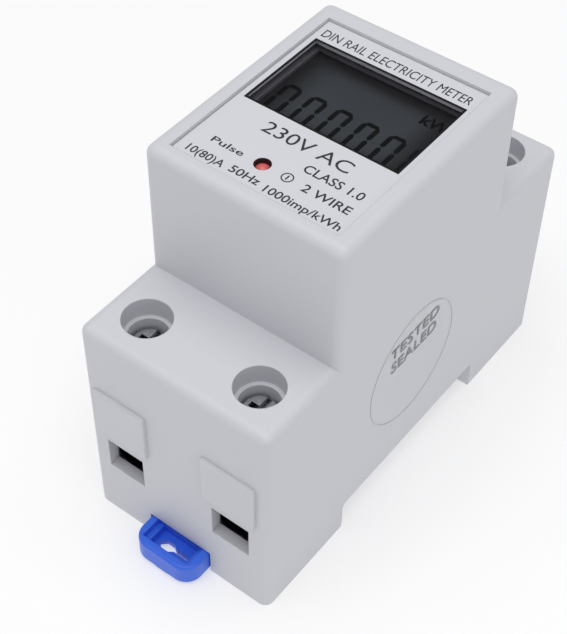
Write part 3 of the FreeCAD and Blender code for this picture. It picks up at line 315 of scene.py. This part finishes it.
def film(name, tint, alpha, rough):
    """Thin clear polyester film with its adhesive: mostly see-through, with a slight milky sheen."""
    material, tree = new_material(name)
    cloud_size, cloud_share = 3 * MM, 0.15
    where = add(tree, "ShaderNodeTexCoord").outputs["Object"]
    cloud = add(tree, "ShaderNodeTexNoise",
                {"Vector": where, "Scale": 1 / cloud_size, "Detail": 3.0})
    thin = add(tree, "ShaderNodeMapRange",
               {"Value": cloud.outputs["Fac"], "From Min": NOISE_LOW, "From Max": NOISE_HIGH,
                "To Min": alpha * (1 - cloud_share), "To Max": alpha * (1 + cloud_share)})
    close(tree, add(tree, "ShaderNodeBsdfPrincipled",
                    {"Base Color": tint, "Roughness": rough, "IOR": 1.57,
                     "Alpha": thin.outputs["Result"]}))
    return material


def resin(name, colour, deep):
    """Tinted epoxy of the pulse light: glossy, clouded, and given a faint painted glow for the light
    it catches.
    """
    material, tree = new_material(name)
    cloud_size = 1.2 * MM
    where = add(tree, "ShaderNodeTexCoord").outputs["Object"]
    cloud = add(tree, "ShaderNodeTexNoise",
                {"Vector": where, "Scale": 1 / cloud_size, "Detail": 2.0})
    tone = add(tree, "ShaderNodeMix", {0: cloud.outputs["Fac"], 6: deep, 7: colour},
               data_type="RGBA")
    close(tree, add(tree, "ShaderNodeBsdfPrincipled",
                    {"Base Color": tone.outputs[2], "Roughness": 0.2, "IOR": 1.54,
                     "Emission Color": colour, "Emission Strength": 0.05}))
    return material


# ---- modelling helpers ---------------------------------------------------------------------

def deselect():
    """Leaves nothing selected, so an operator acts only on what is made next."""
    if bpy.context.object and bpy.context.object.mode != "OBJECT":
        bpy.ops.object.mode_set(mode="OBJECT")
    bpy.ops.object.select_all(action="DESELECT")


def choose(*pieces):
    """Selects these pieces and makes the first one active."""
    deselect()
    for piece in pieces:
        piece.select_set(True)
    bpy.context.view_layer.objects.active = pieces[0]


def settle(piece, name, material, body="root"):
    """Names a finished piece, puts its place into its mesh, and gives it its finish and body."""
    choose(piece)
    bpy.ops.object.transform_apply(location=True, rotation=True, scale=True)
    piece.name = name
    piece.data.name = name
    piece.data.materials.clear()
    piece.data.materials.append(material)
    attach(piece, body)
    return piece


def lettering(text, left, right, base, height, z, weight=0.0):
    """Ink lettering on a face that looks up, fitted between two edges.

    The text is made 1 m high and then sized, so that weight, which fattens its strokes, and
    height, which is that of its capitals, mean the same at every size.
    """
    deselect()
    bpy.ops.object.text_add(location=(0, 0, 0))
    piece = bpy.context.object
    piece.data.body = text
    piece.data.size = 1.0
    piece.data.extrude = 0.5
    piece.data.offset = weight
    piece.data.resolution_u = 4
    bpy.ops.object.convert(target="MESH")
    piece = bpy.context.object
    low = [min(v.co[i] for v in piece.data.vertices) for i in range(2)]
    high = [max(v.co[i] for v in piece.data.vertices) for i in range(2)]
    bpy.ops.object.mode_set(mode="EDIT")
    bpy.ops.mesh.select_all(action="SELECT")
    bpy.ops.mesh.remove_doubles(threshold=1e-5)
    bpy.ops.transform.resize(value=((right - left) / (high[0] - low[0]), height / high[1], INK_THICK),
                             center_override=(low[0], 0, 0))
    bpy.ops.transform.translate(value=(left - low[0], base, z + INK_THICK / 2))
    bpy.ops.object.mode_set(mode="OBJECT")
    return piece


def flat_ring(centre, outer, wall, z, thick, corners=0):
    """A flat closed ring: round with this many corners, or a rectangle with none given."""
    deselect()
    if corners:
        bpy.ops.mesh.primitive_circle_add(vertices=corners, radius=outer[0], fill_type="NGON",
                                          location=(centre[0], centre[1], z))
        piece = bpy.context.object
    else:
        bpy.ops.mesh.primitive_plane_add(size=2, location=(centre[0], centre[1], z))
        piece = bpy.context.object
        piece.scale = (outer[0], outer[1], 1)
        bpy.ops.object.transform_apply(location=False, rotation=False, scale=True)
    bpy.ops.object.mode_set(mode="EDIT")
    bpy.ops.mesh.select_all(action="SELECT")
    bpy.ops.mesh.inset(thickness=wall, use_even_offset=True)
    bpy.ops.mesh.delete(type="FACE")
    bpy.ops.mesh.select_all(action="SELECT")
    bpy.ops.mesh.extrude_region_move(TRANSFORM_OT_translate={"value": (0, 0, thick)})
    bpy.ops.mesh.select_all(action="SELECT")
    bpy.ops.mesh.normals_make_consistent(inside=False)
    bpy.ops.object.mode_set(mode="OBJECT")
    return piece


def bar(centre, length, width, turn):
    """One display segment: a flat bar with pointed ends, turned about the vertical."""
    tip_share = 0.05                    # of the width that is left at a tip
    deselect()
    bpy.ops.mesh.primitive_cube_add(size=1, location=(0, 0, 0))
    piece = bpy.context.object
    piece.scale = (length - width, width, INK_THICK)
    bpy.ops.object.transform_apply(location=False, rotation=False, scale=True)
    bpy.ops.object.mode_set(mode="EDIT")
    for side in (-1, 1):
        bpy.ops.mesh.select_all(action="DESELECT")
        bpy.ops.object.mode_set(mode="OBJECT")
        for face in piece.data.polygons:
            face.select = face.normal.x * side > 0.9       # the end face on this side
        bpy.ops.object.mode_set(mode="EDIT")
        bpy.ops.mesh.select_mode(type="FACE")
        bpy.ops.mesh.extrude_region_move(TRANSFORM_OT_translate={"value": (side * width / 2, 0, 0)})
        bpy.ops.transform.resize(value=(1, tip_share, 1))
    bpy.ops.mesh.select_all(action="SELECT")
    bpy.ops.transform.rotate(value=-turn, orient_axis="Z", center_override=(0, 0, 0))
    bpy.ops.transform.translate(value=(centre[0], centre[1], 0))
    bpy.ops.object.mode_set(mode="OBJECT")
    return piece


def joined(pieces):
    """Joins pieces into the first one and returns it."""
    choose(*pieces)
    if len(pieces) > 1:
        bpy.ops.object.join()
    return bpy.context.object


def trim(piece, point, normal):
    """Cuts away the side of a piece that the normal points to, and closes the cut."""
    choose(piece)
    bpy.ops.object.mode_set(mode="EDIT")
    bpy.ops.mesh.select_all(action="SELECT")
    bpy.ops.mesh.bisect(plane_co=point, plane_no=normal, use_fill=True, clear_outer=True)
    bpy.ops.object.mode_set(mode="OBJECT")
    return piece


# ---- settings ------------------------------------------------------------------------------

class MeterColours(PropertyGroup):
    """Colours of the meter's plastics, inks and display."""
    case: FloatVectorProperty(name="Case", description="Grey moulded case", subtype="COLOR",
                              size=4, min=0, max=1, default=linear("#CDCED3"))
    label: FloatVectorProperty(name="Label", description="Printed front plate", subtype="COLOR",
                               size=4, min=0, max=1, default=linear("#D2D3D8"))
    ink: FloatVectorProperty(name="Ink", description="Printing on the front plate", subtype="COLOR",
                             size=4, min=0, max=1, default=linear("#2B2B30"))
    clip: FloatVectorProperty(name="Rail clip", description="Blue rail clip", subtype="COLOR",
                              size=4, min=0, max=1, default=linear("#3468E4"))
    light: FloatVectorProperty(name="Pulse light", description="Red pulse light", subtype="COLOR",
                               size=4, min=0, max=1, default=linear("#DC6E6A"))
    glass: FloatVectorProperty(name="Display", description="Display where it is brightest",
                               subtype="COLOR", size=4, min=0, max=1, default=linear("#3C4145"))


class MeterPrint(PropertyGroup):
    """What is printed on the front plate and shown on the display."""
    heading: StringProperty(name="Heading", description="Line above the window",
                            default="DIN RAIL ELECTRICITY METER")
    voltage: StringProperty(name="Voltage", description="Large line under the window",
                            default="230V AC")
    heading_height: FloatProperty(name="Heading height", description="Capital height of the heading",
                                  default=1.9 * MM, min=0.0005, max=0.004, unit="LENGTH")
    digit_height: FloatProperty(name="Digit height", description="Height of the display's digits",
                                default=7.2 * MM, min=0.002, max=0.009, unit="LENGTH")
    digit_pitch: FloatProperty(name="Digit pitch", description="From one digit to the next",
                               default=4.8 * MM, min=0.003, max=0.006, unit="LENGTH")
    digit_slant: FloatProperty(name="Digit slant", description="Lean of the digits to the right",
                               default=math.radians(0), min=0, max=0.4, subtype="ANGLE")


class MeterStage(PropertyGroup):
    """Floor, lights and camera."""
    azimuth: FloatProperty(name="Azimuth", description="Camera round the meter, from straight ahead",
                           default=math.radians(36.972), subtype="ANGLE")
    elevation: FloatProperty(name="Elevation", description="Camera above the floor",
                             default=math.radians(47.699), subtype="ANGLE")
    roll: FloatProperty(name="Roll", description="Camera about its own line of sight",
                        default=math.radians(0.894), subtype="ANGLE")
    distance: FloatProperty(name="Distance", description="Camera from the point it circles",
                            default=240.53 * MM, min=0.05, unit="LENGTH")
    pan_right: FloatProperty(name="Pan right", description="Camera to its own right",
                             default=-7.58 * MM, unit="LENGTH")
    pan_up: FloatProperty(name="Pan up", description="Camera along its own up",
                          default=-4.85 * MM, unit="LENGTH")
    lens: FloatProperty(name="Lens", description="Focal length in millimetres",
                        default=82.88, min=20, max=300)
    sky: FloatProperty(name="Room light", description="Strength of the light from all round",
                       default=0.44, min=0, max=5)
    key: FloatProperty(name="Soft box", description="Power of the box above the meter, in watts",
                       default=3.6, min=0, max=100)
    floor_glow: FloatProperty(name="Floor glow",
                              description="Light that the table gives off, as a light box does",
                              default=0.48, min=0, max=2)
    floor: FloatVectorProperty(name="Floor", description="Pale table top", subtype="COLOR",
                               size=4, min=0, max=1, default=linear("#BEBEBE"))


# ---- the stage -----------------------------------------------------------------------------

class METER_OT_stage(Operator):
    """Adds the pale table, the soft light and the camera."""
    bl_idname = "meter.stage"
    bl_label = "Stage"

    def execute(self, context):
        self.table(context.scene.meter_stage)
        self.light(context)
        self.camera(context)
        context.scene.view_settings.view_transform = "Standard"
        return {"FINISHED"}

    def table(self, settings):
        """The pale table, a hair below the meter's feet."""
        table_size, clearance = 12.0, 0.02 * MM
        deselect()
        bpy.ops.mesh.primitive_plane_add(size=table_size,
                                         location=(0, 0, CAD_BOX[0].z - clearance))
        table = bpy.context.object
        bpy.ops.object.mode_set(mode="EDIT")
        bpy.ops.mesh.select_all(action="SELECT")
        bpy.ops.mesh.subdivide(number_cuts=3)
        bpy.ops.object.mode_set(mode="OBJECT")
        bpy.ops.object.transform_apply(location=True, rotation=True, scale=True)
        table.name = "table"
        # Matt painted board: even, with a very faint clouding.
        table.data.materials.append(moulded("painted_table", list(settings.floor), 0.85, 2.0, 0.002,
                                            ior=1.45, cloud=0.004, glow=settings.floor_glow))

    def light(self, context):
        """Even light from the room, a soft box above and a weak one on each side."""
        settings = context.scene.meter_stage
        world = bpy.data.worlds.new("studio")
        context.scene.world = world
        world.use_nodes = True
        room = world.node_tree.nodes["Background"]
        room.inputs["Color"].default_value = linear("#FCFCFF")
        room.inputs["Strength"].default_value = settings.sky

        # Place and aim in metres, share of the key power, width in metres.
        boxes = {
            "box_above": ((0.02, -0.07, 0.75), (0.0, 0.0, 0.0), 1.0, 0.7),
            "box_right": ((0.75, -0.25, 0.35), (0.0, 0.0, 0.02), 0.15, 0.5),
            "box_left": ((-0.55, -0.45, 0.35), (0.0, 0.0, 0.02), 0.06, 0.5),
        }
        for name, (place, target, share, width) in boxes.items():
            deselect()
            bpy.ops.object.light_add(type="AREA", location=place)
            light = bpy.context.object
            light.name = name
            light.data.shape = "SQUARE"
            light.data.size = width
            light.data.energy = settings.key * share
            across = math.hypot(place[0] - target[0], place[1] - target[1])
            # Turned to face its target.
            light.rotation_euler = (math.atan2(across, place[2] - target[2]), 0,
                                    math.atan2(place[0] - target[0], target[1] - place[1]))

    def camera(self, context):
        """The camera, on a circle round the meter and then panned."""
        settings = context.scene.meter_stage
        turn, rise = settings.azimuth, settings.elevation
        back = (math.sin(turn) * math.cos(rise), -math.cos(turn) * math.cos(rise), math.sin(rise))
        right = (math.cos(turn), math.sin(turn), 0.0)
        up = (-math.sin(turn) * math.sin(rise), math.cos(turn) * math.sin(rise), math.cos(rise))
        aim = (0.0, 0.0, 24 * MM)
        place = [aim[i] + back[i] * settings.distance + right[i] * settings.pan_right
                 + up[i] * settings.pan_up for i in range(3)]
        deselect()
        bpy.ops.object.camera_add(location=place, rotation=(math.pi / 2 - rise, 0, turn))
        camera = bpy.context.object
        camera.name = "camera"
        camera.rotation_euler.rotate_axis("Z", settings.roll)
        camera.data.lens = settings.lens
        camera.data.sensor_width = 36.0
        camera.data.clip_start = 5 * MM
        context.scene.camera = camera


# ---- finishes of the CAD nodes -------------------------------------------------------------

def dress(slots):
    """Gives every CAD node its finish, by the name of its material slot."""
    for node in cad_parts.values():
        for place in node.material_slots:
            if place.material and place.material.name in slots:
                place.material = slots[place.material.name]


class METER_OT_plastics(Operator):
    """Finishes the case, the front plate, the bezel, the clip and the other plastics."""
    bl_idname = "meter.plastics"
    bl_label = "Plastics"

    def execute(self, context):
        colours = context.scene.meter_colours
        slots = {
            # Polycarbonate blend from a spark-eroded tool: matt, with an even 0.4 mm grain.
            "case_plastic": moulded("grey_polycarbonate", list(colours.case), 0.52, 0.4, 0.012,
                                    cloud=0.012, edge=0.25),
            # Polycarbonate plate, smoother than the case.
            "panel_film": moulded("label_polycarbonate", list(colours.label), 0.42, 0.3, 0.004,
                                  cloud=0.008),
            # Dark grey ABS frame of the display, seen only through the window.
            "bezel_plastic": moulded("black_abs", linear("#5A5A60"), 0.5, 0.3, 0.008,
                                     ior=1.54),
            # Blue acetal: smooth and waxy, with soft highlights.
            "clip_plastic": moulded("blue_acetal", list(colours.clip), 0.33, 0.5, 0.006, ior=1.48,
                                    cloud=0.05, edge=0.25),
            # Silicone contact strip, pink-grey.
            "contact_rubber": moulded("silicone_strip", linear("#C98F86"), 0.7, 0.2, 0.01,
                                      ior=1.41),
            "lead_insulation": moulded("pvc_insulation", linear("#B3261E"), 0.4, 0.3, 0.005,
                                       ior=1.53),
            # Film capacitor in its yellow polyester box.
            "film_case": moulded("capacitor_box", linear("#D9B23A"), 0.35, 0.4, 0.006, ior=1.55),
            "can_sleeve": moulded("capacitor_sleeve", linear("#1D2A4A"), 0.3, 0.5, 0.004,
                                  ior=1.52),
            "varistor_coat": moulded("blue_epoxy_coat", linear("#1F4FA0"), 0.3, 0.9, 0.02,
                                     ior=1.55),
            "resistor_coat": moulded("cement_coat", linear("#7C8F80"), 0.6, 0.25, 0.012, ior=1.5),
        }
        dress(slots)
        return {"FINISHED"}


class METER_OT_metals(Operator):
    """Finishes the screws, cages, bars, spring and crystal can."""
    bl_idname = "meter.metals"
    bl_label = "Metals"

    def execute(self, context):
        dress({
            # Zinc-plated steel, clear passivated, turned and headed, with painted shade in its slots.
            "screw_steel": metal("plated_screw_steel", linear("#C6C8CC"), 0.24, 0.6, 0.0004,
                                 tarnish=0.03, painted_shade=0.9),
            # Painted shade: the cages are coloured near black so that the wire openings look dark
            # inside.
            "cage_steel": metal("shade_dark_cage_steel", linear("#26262A"), 0.45, 0.4, 0.004),
            "plated_steel": metal("plated_steel", linear("#C9CBCF"), 0.3, 0.25, 0.004),
            # Electrolytic copper strip, rolled along its length.
            "bar_copper": metal("rolled_copper", linear("#C9794F"), 0.3, 0.3, 0.004,
                                stretch=(1, 0.08, 1), tarnish=0.15),
            # Manganin: duller and browner than copper.
            "shunt_alloy": metal("manganin", linear("#8E7A66"), 0.38, 0.3, 0.004,
                                 stretch=(1, 0.08, 1)),
            "spring_steel": metal("music_wire", linear("#8F9296"), 0.3, 0.2, 0.003),
            "crystal_can": metal("drawn_can", linear("#CACCCF"), 0.24, 0.4, 0.004),
        })
        return {"FINISHED"}


class METER_OT_electronics(Operator):
    """Finishes the boards and chips."""
    bl_idname = "meter.electronics"
    bl_label = "Boards and chips"

    def execute(self, context):
        leg_height = 0.45 * MM
        legs_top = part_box("main_board")[1].z + leg_height
        dress({
            "board_laminate": laminate("green_laminate", linear("#155232"), linear("#2C7A4C")),
            "chip_epoxy": chip_epoxy("chip_epoxy", linear("#1B1B1D"), linear("#C4C6C8"), legs_top),
        })
        return {"FINISHED"}


class METER_OT_clear_parts(Operator):
    """Finishes the window, the display glass and the pulse light."""
    bl_idname = "meter.clear_parts"
    bl_label = "Clear parts"

    def execute(self, context):
        colours = context.scene.meter_colours
        low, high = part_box("lcd_glass")
        centre = (low + high) / 2
        half = (high - low) / 2
        dress({
            # Clear acrylic, polished, with the hairlines of handling.
            "window_clear": clear_plastic("clear_acrylic", linear("#1C1D1F"), rough=0.04,
                                          ior=1.49, scratch=0.8, alpha=0.02),
            "display_glass": display_glass("display_glass", list(colours.glass), linear("#242427"),
                                           centre, half),
            "light_resin": resin("red_epoxy", list(colours.light), linear("#B8403E")),
        })
        return {"FINISHED"}


# ---- printed and shown pieces --------------------------------------------------------------

class METER_OT_label_print(Operator):
    """Prints the heading, the ratings and the light's mark on the front plate."""
    bl_idname = "meter.label_print"
    bl_label = "Label print"

    def execute(self, context):
        wording = context.scene.meter_print
        # Screen-printed ink: dense near-black, slightly shinier than the plate.
        ink = moulded("label_ink", list(context.scene.meter_colours.ink), 0.4, 0.12, 0.003,
                      ior=1.5, cloud=0.06)
        heading_height = wording.heading_height / MM
        # Name, text, left and right edge, base line, height of the capitals, weight; in mm.
        lines = (
            ("print_heading", wording.heading, -13.8, 13.6, 14.1, heading_height, 0.0),
            ("print_voltage", wording.voltage, -7.3, 8.2, -9.3, 2.5, 0.0),
            ("print_pulse", "Pulse", -11.5, -5.8, -15.55, 1.2, 0.01),
            ("print_current", "10(80)A", -13.2, -6.6, -19.2, 1.5, 0.01),
            ("print_frequency", "50Hz", -5.5, -0.3, -19.0, 1.5, 0.01),
            ("print_rate", "1000imp/kWh", 0.9, 14.0, -19.35, 1.5, 0.01),
            ("print_class", "CLASS 1.0", 2.8, 13.0, -12.6, 1.7, 0.01),
            ("print_wires", "2 WIRE", 5.0, 13.2, -15.95, 1.6, 0.01),
        )
        for name, text, left, right, base, height, weight in lines:
            piece = lettering(text, left * MM, right * MM, base * MM, height * MM, PANEL_TOP,
                              weight)
            settle(piece, name, ink)
        ring = flat_ring(MARK_PLACE, (MARK_RADIUS, MARK_RADIUS), MARK_LINE, PANEL_TOP, INK_THICK,
                         corners=40)
        stroke = bar(MARK_PLACE, *MARK_STROKE, math.radians(90))
        choose(stroke)
        bpy.ops.transform.translate(value=(0, 0, PANEL_TOP + INK_THICK / 2))
        settle(joined([ring, stroke]), "print_circle", ink)
        return {"FINISHED"}


class METER_OT_window_border(Operator):
    """Prints the black border round the window."""
    bl_idname = "meter.window_border"
    bl_label = "Window border"

    def execute(self, context):
        centre = (WINDOW_LOW + WINDOW_HIGH) / 2
        half = (WINDOW_HIGH - WINDOW_LOW) / 2
        # Black screen ink on the front of the window.
        black = moulded("border_ink", linear("#0B0B0D"), 0.5, 0.12, 0.002, ior=1.5, shine=0.2)
        piece = flat_ring((centre.x, centre.y), (half.x - FLANGE, half.y - FLANGE), BORDER_WIDTH,
                          WINDOW_HIGH.z, INK_THICK)
        settle(piece, "window_border", black)
        return {"FINISHED"}


class METER_OT_hole_shade(Operator):
    """Lines the pulse light's hole with a black ring of painted shade, for the shadow down the hole.
    """
    bl_idname = "meter.light_liner"
    bl_label = "Hole shade ring"

    def execute(self, context):
        low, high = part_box("pulse_led")
        centre = (low + high) / 2
        panel_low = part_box("front_panel")[0].z
        # Painted shade: a black ring standing in for the shadow down the hole round the light.
        black = moulded("painted_hole_shade", linear("#1E1C1D"), 0.5, 0.2, 0.002, ior=1.54)
        piece = flat_ring((centre.x, centre.y), (HOLE_SHADE_RADIUS, HOLE_SHADE_RADIUS), HOLE_SHADE_WALL,
                          panel_low, PANEL_TOP - panel_low - HOLE_SHADE_SUNK, corners=48)
        settle(piece, "light_liner", black)
        return {"FINISHED"}


class METER_OT_display_digits(Operator):
    """Shows the reading and its unit on the display."""
    bl_idname = "meter.display_digits"
    bl_label = "Display digits"

    def execute(self, context):
        wording = context.scene.meter_print
        height, width, stroke = wording.digit_height, DIGIT_WIDTH, SEGMENT_WIDTH
        top = READING_TOP
        lean = math.tan(wording.digit_slant)
        # Driven segments: the polarisers cross there, so they are near black and matt.
        dark = moulded("driven_segment", linear("#08080A"), 0.6, 0.3, 0.001, ior=1.5, shine=0.1)

        def at(x, y):
            """A point of the leaning digit, from its upright place."""
            return (x + (y - top) * lean, y)

        inner = width - stroke
        upright = (height - stroke) / 2
        parts = [bar(at(width / 2, top - stroke / 2), inner, stroke, 0),
                 bar(at(width / 2, top - height + stroke / 2), inner, stroke, 0)]
        for x in (stroke / 2, width - stroke / 2):
            for row in (0.5, 1.5):
                y = top - stroke / 2 - upright * row
                parts.append(bar(at(x, y), upright - SEGMENT_GAP, stroke,
                                 math.pi / 2 - wording.digit_slant))
        first = joined(parts)
        digits = [first]
        for place in range(1, DIGITS):
            digit = first.copy()
            digit.data = first.data.copy()
            context.scene.collection.objects.link(digit)
            digit.location.x = place * wording.digit_pitch
            digits.append(digit)
        reading = joined(digits)
        reading.location = (READING_LEFT, 0, GLASS_TOP + INK_THICK / 2)
        choose(reading)
        bpy.ops.object.transform_apply(location=True, rotation=True, scale=True)
        trim(reading, (LIP_EDGE, 0, 0), (1, 0, 0))
        settle(reading, "display_reading", dark)
        unit = lettering("kWh", *UNIT_SPAN, UNIT_BASE, UNIT_HEIGHT, GLASS_TOP, weight=0.03)
        trim(unit, (LIP_EDGE, 0, 0), (1, 0, 0))
        settle(unit, "display_unit", dark)
        return {"FINISHED"}


class METER_OT_sticker_print(Operator):
    """Lays the round inspection sticker: its clear film, a painted highlight on its cut edge and its
    two words.
    """
    bl_idname = "meter.sticker_print"
    bl_label = "Sticker print"

    def execute(self, context):
        low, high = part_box("inspection_sticker")
        centre = (low + high) / 2
        radius = (high.z - low.z) / 2
        thick = high.x - low.x - GLUE
        upright = (math.pi / 2, 0, math.pi / 2)         # from a face that looks up to the side
        corners = 128
        deselect()
        bpy.ops.mesh.primitive_cylinder_add(vertices=corners, radius=radius, depth=thick,
                                            rotation=(0, math.pi / 2, 0),
                                            location=(high.x - thick / 2, centre.y, centre.z))
        # Clear polyester film: seen by its rim and a slight sheen.
        clear = film("clear_polyester_film", linear("#F2F3F5"), 0.03, 0.3)
        disc = settle(context.object, "sticker_disc", clear)
        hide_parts("inspection_sticker")
        # Painted highlight: a pale ring standing in for the light caught by the film's cut edge.
        edge_highlight = moulded("painted_edge_highlight", linear("#C9CBCF"), 0.7, 0.2, 0.002, ior=1.5)
        rim = flat_ring((0, 0), (radius + RIM, radius + RIM), RIM, 0, thick, corners=corners)
        rim.rotation_euler = upright
        rim.location = (high.x - thick, centre.y, centre.z)
        settle(rim, "sticker_edge", edge_highlight)
        # Pale grey ink, worn thin.
        grey = moulded("sticker_ink", linear("#7E8087"), 0.4, 0.2, 0.002, ior=1.5)
        # Name, text, base line above the middle and width; in mm.
        for name, text, rise, wide in (("sticker_word_1", "TESTED", 6.1, 13.5),
                                       ("sticker_word_2", "SEALED", 2.8, 12.7)):
            piece = lettering(text, -wide / 2 * MM, wide / 2 * MM, rise * MM, STICKER_LETTERS, 0)
            piece.rotation_euler = upright
            piece.location = (SIDE_X, centre.y, centre.z)
            settle(piece, name, grey)
        return {"FINISHED"}


class METER_PT_sidebar(Panel):
    """The meter's settings and steps."""
    bl_idname = "METER_PT_sidebar"
    bl_label = "Rail electricity meter"
    bl_space_type = "VIEW_3D"
    bl_region_type = "UI"
    bl_category = "Meter"

    def draw(self, context):
        for group in (context.scene.meter_colours, context.scene.meter_print,
                      context.scene.meter_stage):
            box = self.layout.box()
            for name in group.__annotations__:
                box.prop(group, name)
        for step in STEPS:
            self.layout.operator(step.bl_idname)


STEPS = (METER_OT_stage, METER_OT_plastics, METER_OT_metals, METER_OT_electronics,
         METER_OT_clear_parts, METER_OT_label_print, METER_OT_window_border,
         METER_OT_hole_shade, METER_OT_display_digits, METER_OT_sticker_print)
GROUPS = (("meter_colours", MeterColours), ("meter_print", MeterPrint),
          ("meter_stage", MeterStage))


def register():
    """Adds the settings to the scene, and the steps and the panel."""
    for name, group in GROUPS:
        bpy.utils.register_class(group)
        setattr(bpy.types.Scene, name, PointerProperty(type=group))
    for step in STEPS + (METER_PT_sidebar,):
        bpy.utils.register_class(step)


def unregister():
    """Takes away what register added, last first."""
    for step in reversed(STEPS + (METER_PT_sidebar,)):
        bpy.utils.unregister_class(step)
    for name, group in reversed(GROUPS):
        delattr(bpy.types.Scene, name)
        bpy.utils.unregister_class(group)


def main():
    """Runs every step in order."""
    register()
    for step in STEPS:
        family, name = step.bl_idname.split(".")
        getattr(getattr(bpy.ops, family), name)()


if __name__ == "__main__":
    main()
